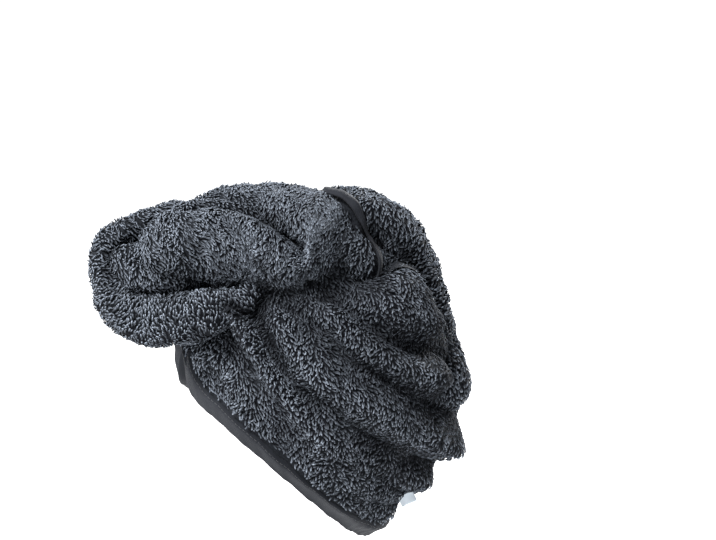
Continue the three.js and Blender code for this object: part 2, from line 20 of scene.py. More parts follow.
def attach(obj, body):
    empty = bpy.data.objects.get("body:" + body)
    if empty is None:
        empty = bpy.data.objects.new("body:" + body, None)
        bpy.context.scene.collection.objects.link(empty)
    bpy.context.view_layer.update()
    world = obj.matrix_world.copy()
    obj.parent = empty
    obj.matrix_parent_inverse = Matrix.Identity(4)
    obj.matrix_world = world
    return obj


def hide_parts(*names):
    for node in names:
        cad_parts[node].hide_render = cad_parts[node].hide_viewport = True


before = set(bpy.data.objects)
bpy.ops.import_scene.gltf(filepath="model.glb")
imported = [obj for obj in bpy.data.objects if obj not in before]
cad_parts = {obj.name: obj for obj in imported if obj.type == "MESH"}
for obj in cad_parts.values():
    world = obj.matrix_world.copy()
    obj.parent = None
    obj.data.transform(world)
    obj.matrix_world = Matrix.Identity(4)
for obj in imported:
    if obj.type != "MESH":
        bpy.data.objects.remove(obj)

LOG = logging.getLogger("hair_turban")
ROOT_BODY = "root"
NAPE_BUTTON = "nape_button"
IMAGE_SIZE = (716, 540)

# Wavelengths of the ripples in the cloth, and the height of the fine ones as a share of the coarse ones.
COARSE_RIPPLE = 0.03
FINE_RIPPLE = 0.013
FINE_SHARE = 0.6

# Depth in a touching form at which the shade between them is full.
CONTACT = 0.001

# Rings of a tuft, as (share of its length, tip value, girth, thickness), with one more point at its tip.
# The tip value, 0 at the root and 1 at the tip, sets the painted shade that darkens each tuft towards its
# root.
TUFT_SIDES = 3
TUFT_RINGS = ((0.0, 0.0, 0.75, 0.75), (0.45, 0.45, 1.1, 1.0), (0.86, 0.85, 0.85, 0.75))
TUFT_POINTS = len(TUFT_RINGS) * TUFT_SIDES + 1

# Rings of a stitch, as (share of its length, height in thicknesses).
STITCH_RINGS = ((0.0, -0.6), (0.25, 0.5), (0.75, 0.5), (1.0, -0.6))

Array = np.ndarray
Colour = tuple[float, float, float, float]
Factor = Any


class Lay(Enum):
    """Way in which a pile lies on its surface."""

    ROUND = "round"
    DOWN = "down"


def unit(vectors: Array) -> Array:
    """Scale rows of vectors to length one."""
    return vectors / np.maximum(np.linalg.norm(vectors, axis=-1, keepdims=True), 1e-12)


def smoothstep(low: float, high: float, value: Array) -> Array:
    """Ease values from 0 at low to 1 at high."""
    t = np.clip((value - low) / (high - low), 0, 1)
    return t * t * (3 - 2 * t)


def bell(value: Array) -> Array:
    """Return a bell curve of height one."""
    return np.exp(-value * value)


def softplus(value: Array, ease: float) -> Array:
    """Return value where it is well above zero, eased to nothing below."""
    return ease * np.logaddexp(0.0, value / ease)


def distances(path: Array) -> Array:
    """Distance travelled along a path at each of its points."""
    return np.concatenate([[0], np.cumsum(np.linalg.norm(np.diff(path, axis=0), axis=1))])


def columns_round(count: int) -> Array:
    """Azimuths round the head, closer together at the brow and the nape."""
    crowding = 0.1
    even = np.arange(count) / count * 2 * math.pi
    return even - crowding * np.sin(2 * even)


@dataclass(frozen=True)
class Ripples:
    """Smooth three-dimensional noise made of a few seeded sine waves."""

    wavelength: float
    seed: int
    waves: int = 7

    def at(self, points: Array) -> Array:
        """Evaluate the noise.

        Args:
            points: places in metres.

        Returns:
            Values that are mostly between -1 and 1.
        """
        draw = np.random.default_rng(self.seed)
        ways = unit(draw.normal(size=(self.waves, 3)))
        scales = 2 * math.pi / (self.wavelength * draw.uniform(0.7, 1.6, self.waves))
        phases = draw.uniform(0, 2 * math.pi, self.waves)
        sines = np.sin(points @ (ways * scales[:, None]).T + phases)
        return sines.sum(axis=-1) / math.sqrt(self.waves / 1.2)


def double_ripples(points: Array, fine: float, seed: int) -> Array:
    """Coarse ripples with finer ones, of the given wavelength, on them."""
    return Ripples(COARSE_RIPPLE, seed).at(points) + FINE_SHARE * Ripples(fine, seed + 1).at(points)


@dataclass(frozen=True)
class Fold:
    """One crease of the gathered cloth, or a ridge where its depths are negative.

    Places are shares of half the head's length and of its rise or drop, and depths are shares of the
    looseness. Reach is above and below the line. Shoulder is how far the cloth swells beside it, as a share
    of the depth.
    """

    start: tuple[float, float]
    end: tuple[float, float]
    bow: float
    depth: tuple[float, float]
    reach: tuple[float, float]
    shoulder: float = 0.17

    def cut(self, along: Array, up: Array) -> Array:
        """Depth of the crease at places on the side of the head.

        Args:
            along: place along the head, as a share.
            up: place above its widest level, as a share.

        Returns:
            Depths as shares of the looseness.
        """
        dx, dy = self.end[0] - self.start[0], self.end[1] - self.start[1]
        length = math.hypot(dx, dy)
        t = ((along - self.start[0]) * dx + (up - self.start[1]) * dy) / length**2
        side = ((up - self.start[1]) * dx - (along - self.start[0]) * dy) / length
        inside = np.clip(t, 0, 1)
        offset = side - self.bow * length * 4 * inside * (1 - inside)
        beyond = np.maximum(np.maximum(-t, t - 1), 0) * length
        reach = np.where(offset > 0, self.reach[0], self.reach[1])
        depth = self.depth[0] + (self.depth[1] - self.depth[0]) * inside
        away = np.abs(offset / reach)
        crease = np.exp(-1.1 * away**1.35) - self.shoulder * bell((away - 2.1) / 0.9)
        return depth * crease * bell(beyond / reach)


@dataclass(frozen=True)
class Puff:
    """A place where the gathered cloth swells, in the shares that a fold has."""

    at: tuple[float, float]
    radius: float
    height: float

    def swell(self, along: Array, up: Array) -> Array:
        """Height of the puff as a share of the looseness, at places on the side of the head."""
        return self.height * bell(np.hypot(along - self.at[0], up - self.at[1]) / self.radius)


FOLDS = (
    Fold((-0.84, 0.14), (-0.2, -0.34), -0.05, (0.4, 0.15), (0.1, 0.1)),
    Fold((-0.72, 0.46), (-0.24, -0.22), -0.02, (1.1, 0.35), (0.05, 0.1)),
    Fold((-0.63, 0.56), (-0.33, -0.06), -0.06, (-0.9, -0.35), (0.06, 0.06)),
    Fold((-0.52, 0.66), (-0.16, 0.02), -0.15, (1.2, 0.4), (0.06, 0.07)),
    Fold((-0.3, 0.7), (1.0, -0.19), -0.055, (0.8, 1.1), (0.06, 0.1)),
    Fold((-0.2, 0.08), (0.88, -0.46), -0.04, (0.3, 1.5), (0.06, 0.12)),
    Fold((0.0, 0.78), (0.84, 0.3), -0.1, (0.7, 1.6), (0.06, 0.1)),
    Fold((-0.5, 0.74), (0.36, 0.84), -0.04, (1.0, 1.0), (0.1, 0.08)),
    Fold((0.3, -0.44), (0.76, -0.66), -0.02, (0.3, 1.1), (0.05, 0.08)),
    Fold((0.28, -0.58), (0.6, -0.7), 0.0, (0.3, 0.9), (0.05, 0.07)),
    Fold((0.74, 0.72), (0.8, 0.03), 0.14, (1.3, 1.3), (0.07, 0.07)),
)
PUFFS = (
    Puff((0.46, 0.73), 0.26, 1.2),
    Puff((0.98, 0.2), 0.24, 1.1),
    Puff((0.92, -0.3), 0.28, 2.0),
    Puff((0.74, -0.54), 0.17, 1.3),
    Puff((0.3, -0.05), 0.3, 0.5),
)


@dataclass(frozen=True)
class HeadForm:
    """Form of the head that the pocket is worn on."""

    length: float = 0.198
    width: float = 0.156
    crown_rise: float = 0.1
    nape_drop: float = 0.132
    crown_back: float = 0.007
    nape_power: float = 1.6

    def point(self, azimuth: Array, fall: Array) -> Array:
        """Place on the form.

        Args:
            azimuth: turn from the brow to the wearer's left, in radians.
            fall: angle from the crown, in radians.

        Returns:
            Places in metres.
        """
        upper = fall <= math.pi / 2
        power = np.where(upper, 1.0, 2 / self.nape_power)
        spread = np.maximum(np.sin(fall), 0) ** power
        level = np.sign(np.cos(fall)) * np.abs(np.cos(fall)) ** power
        return np.stack(
            [
                self.width / 2 * spread * np.sin(azimuth),
                -self.crown_back - self.length / 2 * spread * np.cos(azimuth),
                -self.crown_rise + np.where(upper, self.crown_rise, self.nape_drop) * level,
            ],
            axis=-1,
        )

    def shares(self, points: Array) -> tuple[Array, Array, Array]:
        """Place along, across and up the head, as shares of its half sizes."""
        rise = points[..., 2] + self.crown_rise
        up = rise / np.where(rise > 0, self.crown_rise, self.nape_drop)
        return (points[..., 1] + self.crown_back) / (self.length / 2), points[..., 0] / (self.width / 2), up

    def field(self, points: Array) -> tuple[Array, Array, Array]:
        """How far outside the form points are.

        Args:
            points: places in metres.

        Returns:
            The share outside, its steepness, and the outward direction.
        """
        along, across, up = self.shares(points)
        power = np.where(up > 0, 2.0, self.nape_power)
        spread = np.maximum(np.hypot(along, across), 1e-6)
        pull = power * spread ** (power - 2)
        drop = np.where(up > 0, self.crown_rise, self.nape_drop)
        slope = np.stack(
            [
                pull * across / (self.width / 2),
                pull * along / (self.length / 2),
                power * np.sign(up) * np.abs(up) ** (power - 1) / drop,
            ],
            axis=-1,
        )
        value = spread**power + np.abs(up) ** power - 1
        steepness = np.maximum(np.linalg.norm(slope, axis=-1), 1e-9)
        return value, steepness, slope / steepness[..., None]

    def onto(self, points: Array) -> Array:
        """Move points onto the form along its outward direction."""
        placed = points.copy()
        for _ in range(6):
            value, steepness, normal = self.field(placed)
            placed -= normal * (value / steepness)[..., None]
        return placed


@dataclass(frozen=True)
class GatheredCloth:
    """Cloth of the pocket over the head form, with its rim."""

    form: HeadForm = HeadForm()
    wall: float = 0.005
    looseness: float = 0.01
    brow_fullness: float = 0.5
    filling: tuple[float, float] = (-0.9, 0.3)
    groove_start: tuple[float, float] = (-0.05, 0.35)
    crown_contact: float = 0.06
    rim_slope: float = 0.933
    rim_brow_drop: float = 0.108
    rim_temple_forward: float = 0.089
    rim_nape_drop: float = 0.217
    notch_height: float = 0.04
    notch_width: float = 0.024
    hem_height: float = 0.02
    groove_width: float = 0.054
    fold_gain: float = 1.75
    fold_ease: float = 0.0015
    rim_ease: float = 0.008
    wrinkle: float = 0.0008
    wrinkle_seed: int = 11

    def rim_level(self, points: Array) -> Array:
        """Height of the rim over or under a place."""
        temple = -self.form.crown_back - self.rim_temple_forward
        level = -self.rim_nape_drop
        slanting = -self.rim_brow_drop - self.rim_slope * (points[..., 1] - temple)
        side = level + softplus(slanting - level, self.rim_ease)
        front = points[..., 1] < -self.form.crown_back
        return side + front * self.notch_height * bell(points[..., 0] / (self.notch_width / 2))

    def relief(self, points: Array) -> Array:
        """Height of the gathered cloth over the head form, beside its own thickness."""
        along, _, up = self.form.shares(points)
        height = self.brow_fullness + (1 - self.brow_fullness) * smoothstep(*self.filling, along)
        for puff in PUFFS:
            height = height + puff.swell(along, up)
        height = height - self.fold_gain * sum(fold.cut(along, up) for fold in FOLDS)
        behind = smoothstep(*self.groove_start, along)
        pressed = 1 - behind * bell(points[..., 0] / (self.groove_width / 2))
        crown = smoothstep(0, self.crown_contact / 2, np.hypot(points[..., 0], points[..., 1]))
        hem = smoothstep(0, self.hem_height, points[..., 2] - self.rim_level(points))
        wrinkles = self.wrinkle * double_ripples(points, FINE_RIPPLE, self.wrinkle_seed)
        swell = softplus(height * self.looseness, self.fold_ease)
        return swell * pressed * crown * hem + wrinkles * hem * crown

    def hollow(self, points: Array) -> Array:
        """How deep in a fold places are, from 0 to 1, or less than 0 on a ridge."""
        along, _, up = self.form.shares(points)
        return np.clip(sum(fold.cut(along, up) for fold in FOLDS), -0.4, 1)

    def point(self, places: Array, lift: float) -> Array:
        """Point of the cloth over places on the form; lift 0 is its inner face."""
        _, _, normal = self.form.field(places)
        return places + normal * (lift + self.relief(places))[..., None]

    def rim_fall(self, azimuth: Array) -> Array:
        """Angle from the crown at which a column meets the rim."""
        low, high = np.full_like(azimuth, 0.2), np.full_like(azimuth, math.pi - 0.01)
        for _ in range(36):
            middle = (low + high) / 2
            places = self.form.point(azimuth, middle)
            above = places[..., 2] > self.rim_level(places)
            low, high = np.where(above, middle, low), np.where(above, high, middle)
        return (low + high) / 2

    def clear(self, points: Array, gap: float) -> Array:
        """Push points that lie inside the cloth out onto it.

        Args:
            points: places in metres.
            gap: room to leave over the cloth.

        Returns:
            The points, with none nearer than the gap.
        """
        places = self.form.onto(points)
        _, _, normal = self.form.field(places)
        height = ((points - places) * normal).sum(axis=-1)
        least = self.wall + self.relief(places) + gap
        low = height < least
        return np.where(low[..., None], places + normal * least[..., None], points)


def spline(rows: Array, share: Array) -> Array:
    """Smooth values between the rows of a table.

    Args:
        rows: one row of values per station.
        share: places along the table, from 0 to 1.

    Returns:
        One row of values per place.
    """
    place = np.clip(share, 0, 1) * (len(rows) - 1)
    i = np.minimum(place.astype(int), len(rows) - 2)
    t = (place - i)[..., None]
    near = [rows[np.clip(i + k, 0, len(rows) - 1)] for k in (-1, 0, 1, 2)]
    slope_in, slope_out = (near[2] - near[0]) / 2, (near[3] - near[1]) / 2
    return (
        (2 * t**3 - 3 * t**2 + 1) * near[1]
        + (t**3 - 2 * t**2 + t) * slope_in
        + (3 * t**2 - 2 * t**3) * near[2]
        + (t**3 - t**2) * slope_out
    )


@dataclass(frozen=True)
class Groove:
    """Hollow that runs along a rope, from one share of its length and place round it to another.

    Places and width are in degrees, and depth is a share of the section. Fade is how far the hollow runs out
    past its ends, as a share of its length.
    """

    share: tuple[float, float]
    place: tuple[float, float]
    depth: float
    width: float
    fade: float = 0.15

    def cut(self, share: Array, angle: Array) -> Array:
        """Depth of the hollow, as a share of the section.

        Args:
            share: how far along the rope.
            angle: how far round it from its outer side, in radians.

        Returns:
            Depths.
        """
        t = (share - self.share[0]) / (self.share[1] - self.share[0])
        inside = np.clip(t, 0, 1)
        away = angle - np.radians(self.place[0] + (self.place[1] - self.place[0]) * inside)
        near = np.degrees(np.arctan2(np.sin(away), np.cos(away)))
        return self.depth * bell(near / self.width) * bell((t - inside) / self.fade)


@dataclass(frozen=True)
class Rope:
    """A rope of cloth: stations of (aside, along, up, wide, high, turn), and its creases as (place, depth).

    Aside, along and up are shares of the head's half sizes, and wide and high of the roll's sizes. Turn and
    the places of creases are in degrees. Rounding is the share of the length that each end takes to close.
    """

    stations: tuple[tuple[float, ...], ...]
    creases: tuple[tuple[float, float], ...]
    rounding: tuple[float, float]
    grooves: tuple[Groove, ...] = ()
    form: HeadForm = HeadForm()
    roll_width: float = 0.106
    roll_height: float = 0.078
    crease_width: float = 0.3
    crease_gain: float = 1.5
    crease_start: float = -0.05
    crease_full: tuple[float, float] = (0.2, 0.25)
    wrinkle: float = 0.0008
    wrinkle_seed: int = 21
    pace: float = 0.004

    def line(self, share: Array) -> Array:
        """Middle line of the rope, in metres."""
        half = np.array([self.form.width / 2, self.form.length / 2, self.form.crown_rise])
        return spline(np.array(self.stations)[:, :3] * half, share)

    def turn(self, share: Array) -> Array:
        """Turn of the first crease from the outer side, in degrees."""
        return spline(np.array(self.stations)[:, 5:], share)[..., 0]

    def hollow(self, share: Array, part: Array) -> Array:
        """Depth of the creases and grooves, as a share of the section.

        Args:
            share: how far along the rope, from 0 to 1.
            part: how far round from its first crease, from 0 to 1.

        Returns:
            Depths.
        """
        depth = np.zeros_like(part)
        for place, deep in self.creases:
            away = part * 2 * math.pi - math.radians(place)
            nearest = np.abs(np.arctan2(np.sin(away), np.cos(away)))
            depth = depth + deep * self.crease_gain * np.exp(-nearest / self.crease_width)
        for far, full in zip((share, 1 - share), self.crease_full):
            depth = depth * smoothstep(self.crease_start, full, far)
        for groove in self.grooves:
            depth = depth + groove.cut(share, np.radians(self.turn(share)) + part * 2 * math.pi)
        return depth

    def point(self, share: Array, part: Array, lift: float = 0.0) -> Array:
        """Point on the rope.

        Args:
            share: how far along it, from 0 to 1.
            part: how far round from its first crease, from 0 to 1.
            lift: height over its surface, in metres.

        Returns:
            Places in metres.
        """
        wide, high, turn = np.moveaxis(spline(np.array(self.stations)[:, 3:], share), -1, 0)
        ends = [
            np.sqrt(np.maximum(1 - np.maximum(1 - far / length, 0) ** 2, 0.0))
            for far, length in zip((share, 1 - share), self.rounding)
        ]
        size = ends[0] * ends[1] * (1 - self.hollow(share, part))
        angle = np.radians(turn) + part * 2 * math.pi
        front, rear = np.minimum(share + self.pace, 1), np.maximum(share - self.pace, 0)
        ahead = unit(self.line(front) - self.line(rear))
        sideways = unit(np.array([1.0, 0, 0]) - ahead * ahead[..., :1])
        outward = np.cross(sideways, ahead)
        middle = self.line(share)
        reach = np.stack([np.sin(angle) * (wide * self.roll_width * size + lift),
                          np.cos(angle) * (high * self.roll_height * size + lift)], axis=-1)
        bare = middle + sideways * reach[..., :1] + outward * reach[..., 1:]
        ripple = self.wrinkle * double_ripples(bare, FINE_RIPPLE, self.wrinkle_seed)
        return bare + unit(bare - middle) * (ripple * size)[..., None]


UPPER_ROLL = Rope(
    stations=(
        (0.1, -1.66, -0.06, 0.1, 0.12, -150),
        (0.1, -1.56, -0.05, 0.2, 0.22, -132),
        (0.1, -1.41, -0.08, 0.26, 0.28, -107),
        (0.1, -1.23, -0.03, 0.34, 0.42, -72),
        (0.04, -0.98, 0.04, 0.42, 0.52, -31),
        (0.0, -0.68, 0.1, 0.5, 0.53, 17),
        (0.03, -0.4, 0.07, 0.56, 0.55, 62),
        (0.07, -0.14, 0.03, 0.58, 0.55, 104),
        (0.18, 0.05, -0.02, 0.48, 0.5, 136),
        (0.33, 0.23, -0.05, 0.3, 0.38, 160),
    ),
    creases=((0, 0.21), (180, 0.15)),
    rounding=(0.09, 0.16),
    grooves=(Groove((0.46, 0.78), (18, 88), 0.17, 8),),
)
TAIL_BAND = Rope(
    stations=(
        (0, -0.3, 0.12, 0.3, 0.34, 45),
        (0, 0.02, 0.08, 0.44, 0.5, 60),
        (0, 0.29, 0.0, 0.49, 0.56, 72),
        (0, 0.45, -0.1, 0.42, 0.51, 74),
        (0, 0.61, -0.26, 0.33, 0.39, 76),
        (0, 0.75, -0.45, 0.26, 0.28, 78),
        (0, 0.88, -0.67, 0.21, 0.17, 80),
        (0, 0.98, -0.87, 0.18, 0.11, 82),
        (0, 1.0, -1.05, 0.165, 0.09, 84),
        (0, 0.97, -1.25, 0.155, 0.085, 86),
        (0, 0.88, -1.5, 0.14, 0.08, 90),
        (0, 0.76, -1.7, 0.12, 0.07, 90),
        (0, 0.67, -1.85, 0.1, 0.06, 90),
    ),
    creases=((0, 0.2), (-110, 0.18)),
    rounding=(0.05, 0.04),
    grooves=(Groove((0.15, 0.27), (58, 104), 0.2, 12), Groove((0.12, 0.42), (48, 74), 0.16, 13)),
)
FRONT_LOOP = Rope(
    stations=(
        (0.3, -0.5, -0.12, 0.11, 0.13, 100),
        (0.5, -0.72, -0.27, 0.125, 0.16, 100),
        (0.57, -0.96, -0.35, 0.16, 0.23, 100),
        (0.48, -1.17, -0.4, 0.18, 0.26, 100),
        (0.34, -1.39, -0.43, 0.19, 0.26, 100),
        (0.18, -1.58, -0.36, 0.17, 0.24, 100),
        (0.03, -1.68, -0.19, 0.14, 0.18, 100),
        (-0.07, -1.69, 0.0, 0.13, 0.15, 100),
        (-0.13, -1.56, 0.14, 0.13, 0.15, 100),
        (-0.19, -1.34, 0.21, 0.14, 0.15, 100),
        (-0.3, -1.11, 0.23, 0.15, 0.16, 100),
        (-0.48, -0.93, 0.14, 0.16, 0.18, 100),
        (-0.6, -0.8, -0.04, 0.15, 0.18, 100),
        (-0.5, -0.62, -0.18, 0.11, 0.14, 100),
    ),
    creases=((0, 0.08),),
    rounding=(0.06, 0.06),
)


@dataclass
class Surface:
    """Points, faces and named values of a mesh in the making."""

    points: Array
    faces: list[Array]
    values: dict[str, Array] = field(default_factory=dict)

    def build(self, name: str, finish: "Finish") -> bpy.types.Object:
        """Make the Blender object and dress it.

        Args:
            name: name of the piece.
            finish: its finish.

        Returns:
            The piece, riding on the root body.
        """
        mesh = bpy.data.meshes.new(name)
        loops = np.concatenate([f.ravel() for f in self.faces if len(f)])
        sizes = np.concatenate([np.full(len(f), f.shape[1]) for f in self.faces if len(f)])
        mesh.vertices.add(len(self.points))
        mesh.loops.add(len(loops))
        mesh.polygons.add(len(sizes))
        mesh.vertices.foreach_set("co", self.points.astype(np.float32).ravel())
        mesh.loops.foreach_set("vertex_index", loops.astype(np.int32))
        starts = np.concatenate([[0], np.cumsum(sizes)[:-1]])
        mesh.polygons.foreach_set("loop_start", starts.astype(np.int32))
        mesh.update(calc_edges=True)
        mesh.validate()
        mesh.polygons.foreach_set("use_smooth", np.full(len(sizes), True))
        for key, values in self.values.items():
            layer = mesh.attributes.new(key, "FLOAT", "POINT")
            layer.data.foreach_set("value", values.astype(np.float32))
        piece = linked(name, mesh)
        mesh.materials.append(finish.material())
        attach(piece, ROOT_BODY)
        LOG.info("%s: %d points, %d faces", name, len(self.points), len(sizes))
        return piece

    def tidy(self) -> "Surface":
        """Return the surface without the points that no face uses."""
        used = np.unique(np.concatenate([f.ravel() for f in self.faces]))
        place = np.zeros(len(self.points), int)
        place[used] = np.arange(len(used))
        values = {key: value[used] for key, value in self.values.items()}
        return Surface(self.points[used], [place[f] for f in self.faces], values)

    def halves(self) -> tuple["Surface", "Surface"]:
        """Split the surface at the middle of the head, by the first point of each face."""
        parts = []
        for side in (1, -1):
            tuft = self.points.reshape(-1, TUFT_POINTS, 3)[:, 0, 0] * side > 0
            chosen = np.repeat(tuft, TUFT_POINTS)
            parts.append(Surface(self.points, [f[chosen[f[:, 0]]] for f in self.faces], self.values).tidy())
        return parts[0], parts[1]

    def tree(self) -> BVHTree:
        """Search tree of the surface, for what touches it."""
        polygons = [tuple(int(k) for k in row) for faces in self.faces for row in faces]
        return BVHTree.FromPolygons([Vector(p) for p in self.points], polygons)


def linked(name: str, data: Any, matrix: Matrix | None = None) -> bpy.types.Object:
    """Put a mesh, a light or a camera into the scene.

    Args:
        name: name of the object.
        data: what it shows.
        matrix: where it stands, or None for the origin.

    Returns:
        The object.
    """
    made = bpy.data.objects.new(name, data)
    if matrix is not None:
        made.matrix_world = matrix
    bpy.context.collection.objects.link(made)
    return made


def depth_inside(tree: BVHTree, points: Array) -> Array:
    """How deep points lie inside a closed surface; negative outside it."""
    deep = np.empty(len(points))
    for i, point in enumerate(points):
        place, normal, _, far = tree.find_nearest(Vector(point))
        deep[i] = -far if (Vector(point) - place).dot(normal) > 0 else far
    return deep


def grid_faces(rows: int, columns: int, closed: bool, first: int = 0) -> Array:
    """Quads of a grid of points.

    Args:
        rows: rows of points.
        columns: points in a row.
        closed: whether each row joins up with itself.
        first: index of the first point.

    Returns:
        Four point indices for each face.
    """
    across = columns if closed else columns - 1
    r, c = np.meshgrid(np.arange(rows - 1), np.arange(across), indexing="ij")
    n = (c + 1) % columns
    near, far = r * columns, (r + 1) * columns
    return np.stack([near + c, near + n, far + n, far + c], axis=-1).reshape(-1, 4) + first


@dataclass(frozen=True)
class Pile:
    """Pile of the fleece: tufts that lean over one another, and the flow that they follow.

    Lean and swirl and their drifts and spreads are in degrees. The ranges are shares of length and width.
    Each tuft starts at a share of its lean and gains more towards its tip.
    """

    pitch: float = 0.0018
    run: float = 0.0028
    length: float = 0.0041
    length_range: tuple[float, float] = (0.75, 1.25)
    width: float = 0.00125
    width_range: tuple[float, float] = (0.8, 1.2)
    lean: float = 63.0
    lean_drift: float = 9.0
    lean_spread: float = 7.0
    lean_ripple: float = 0.016
    lean_at_root: float = 0.45
    lean_gain: float = 0.75
    swirl: float = 27.0
    swirl_spread: float = 12.0
    swirl_ripple: float = 0.01
    curl_spread: float = 16.0
    lay: Lay = Lay.ROUND
    seed: int = 5

    def tufts(self, spots: "Spots", seed: int) -> Surface:
        """Build one tuft over each place.

        Args:
            spots: roots of the tufts.
            seed: seed of the small differences between tufts.

        Returns:
            The tufts as one surface, with tip and clump values.
        """
        draw = np.random.default_rng(seed)
        places, normals = spots.places, spots.normals
        count = len(places)
        lays = spots.around if self.lay is Lay.ROUND else spots.down
        lays = unit(lays - normals * (lays * normals).sum(1, keepdims=True))
        cross = np.cross(normals, lays)
        flow = double_ripples(places, self.swirl_ripple, self.seed)
        turn = np.radians(self.swirl * flow + draw.normal(0, self.swirl_spread, count))
        way = lays * np.cos(turn)[:, None] + cross * np.sin(turn)[:, None]
        side = np.cross(normals, way)
        long = self.length * draw.uniform(*self.length_range, count)
        wide = self.width * draw.uniform(*self.width_range, count)
        drift = self.lean_drift * Ripples(self.lean_ripple, self.seed + 2).at(places)
        lean = np.radians(self.lean + drift + draw.normal(0, self.lean_spread, count))
        curl = np.radians(draw.normal(0, self.curl_spread, count))

        def bend(share: float) -> Array:
            """Angle from the normal of each tuft at a share of its length."""
            return lean * (self.lean_at_root + self.lean_gain * share)

        def spine(share: float) -> Array:
            """Middle of each tuft at a share of its length."""
            return (
                places
                + normals * (np.cos(bend(share)) * long * share)[:, None]
                + way * (np.sin(bend(share)) * long * share)[:, None]
                + side * (np.sin(curl * share) * long * share)[:, None]
            )

        points = []
        for share, _, girth, thick in TUFT_RINGS:
            rise = unit(normals * np.sin(bend(share))[:, None] - way * np.cos(bend(share))[:, None])
            half = wide * girth / 2
            points += [
                spine(share) + side * half[:, None],
                spine(share) + rise * (half * thick)[:, None],
                spine(share) - side * half[:, None],
            ]
        tip = TUFT_POINTS - 1
        last = tip - TUFT_SIDES
        ends = np.array([[last + k, last + (k + 1) % TUFT_SIDES, tip] for k in range(TUFT_SIDES)])
        quads = grid_faces(len(TUFT_RINGS), TUFT_SIDES, True)
        base = (np.arange(count) * TUFT_POINTS)[:, None, None]
        heights = np.append(np.repeat([height for _, height, _, _ in TUFT_RINGS], TUFT_SIDES), 1.0)
        clump = draw.uniform(0, 1, count)
        return Surface(
            np.stack(points + [spine(1.0)], axis=1).reshape(-1, 3),
            [(quads[None] + base).reshape(-1, 4), (ends[None] + base).reshape(-1, 3)],
            {
                # Tip value: drives the painted shade that darkens each tuft towards its root.
                "tip": np.tile(heights, count),
                "clump": np.repeat(clump, TUFT_POINTS),
                # Shade value: above zero paints shade in folds and where parts touch, below zero paints a
                # highlight on ridges.
                "shade": np.repeat(np.clip(spots.shade, -0.3, 1), TUFT_POINTS),
            },
        )


@dataclass
class Spots:
    """Roots of tufts: places, directions out of, round and down the surface, shares of it, and shade."""

    places: Array
    normals: Array
    around: Array
    down: Array
    u: Array
    v: Array
    shade: Array

    def chosen(self, kept: Array) -> "Spots":
        """Return the spots that are marked."""
        return Spots(*(values[kept] for values in vars(self).values()))

    def depth_in(self, tree: BVHTree, reach: float) -> Array:
        """Shade the spots near a closed form.

        Args:
            tree: the closed form.
            reach: how far outside it the shade begins.

        Returns:
            How deep the spots lie inside it.
        """
        deep = depth_inside(tree, self.places)
        self.shade = np.maximum(self.shade, smoothstep(-reach, CONTACT, deep))
        return deep


@dataclass(frozen=True)
class Scatter:
    """Evenly spread places over a surface that is given as a function of two shares."""

    surface: Callable[[Array, Array], Array]
    across: float
    along: float
    seed: int
    rings: int = 240
    ring_points: int = 96
    jitter: tuple[float, float] = (0.32, 0.35)
    probe: float = 2e-3
    typical: float = 70.0

    def spots(self, v_range: tuple[float, float]) -> Spots:
        """Spread the places.

        Args:
            v_range: first and last share of the rows.

        Returns:
            The places and their directions.
        """
        draw = np.random.default_rng(self.seed)
        fine = np.linspace(*v_range, self.rings)
        around = np.linspace(0, 1, self.ring_points, endpoint=False)
        grid = self.surface(np.tile(around, (len(fine), 1)), np.tile(fine[:, None], (1, len(around))))
        step = np.linalg.norm(np.diff(grid, axis=0), axis=-1)
        down = np.concatenate([[0], np.cumsum(np.percentile(step, self.typical, axis=1))])
        rows = max(int(down[-1] / self.along), 1)
        u_all, v_all = [], []
        for k in range(rows):
            v = np.interp((k + 0.5) / rows * down[-1], down, fine)
            ring = self.surface(around, np.full(len(around), v))
            lengths = distances(np.concatenate([ring, ring[:1]]))
            count = int(lengths[-1] / self.across)
            if count < 3:
                continue
            shift = (k % 2) / 2 + draw.uniform(-self.jitter[0], self.jitter[0], count)
            spots = (np.arange(count) + shift) % count
            u_all.append(np.interp(spots / count * lengths[-1], lengths, np.append(around, 1.0)))
            aside = draw.uniform(-self.jitter[1], self.jitter[1], count)
            v_all.append(v + aside * (v_range[1] - v_range[0]) / rows)
        u, v = np.concatenate(u_all), np.clip(np.concatenate(v_all), *v_range)
        du = self.surface(u + self.probe, v) - self.surface(u - self.probe, v)
        dv = self.surface(u, v + self.probe) - self.surface(u, v - self.probe)
        return Spots(self.surface(u, v), unit(np.cross(du, dv)), unit(du), unit(dv), u, v, np.zeros_like(u))


class Wire:
    """Output of a node, with arithmetic that adds Math nodes."""

    def __init__(self, tree: "NodeSheet", socket: bpy.types.NodeSocket) -> None:
        """Wrap a socket of a node tree."""
        self.tree = tree
        self.socket = socket

    def _math(self, operation: str, first: Factor, second: Factor) -> "Wire":
        """Add a Math node for an operation on two values."""
        return self.tree.node("ShaderNodeMath", {"operation": operation}, {0: first, 1: second})

    def __add__(self, other: Factor) -> "Wire":
        """Add a value."""
        return self._math("ADD", self, other)

    def __radd__(self, other: Factor) -> "Wire":
        """Add to a value."""
        return self._math("ADD", other, self)

    def __sub__(self, other: Factor) -> "Wire":
        """Take a value away."""
        return self._math("SUBTRACT", self, other)

    def __rsub__(self, other: Factor) -> "Wire":
        """Take away from a value."""
        return self._math("SUBTRACT", other, self)

    def __mul__(self, other: Factor) -> "Wire":
        """Multiply by a value."""
        return self._math("MULTIPLY", self, other)

    def __rmul__(self, other: Factor) -> "Wire":
        """Multiply a value."""
        return self._math("MULTIPLY", other, self)

    def __pow__(self, other: Factor) -> "Wire":
        """Raise to a power."""
        return self._math("POWER", self, other)


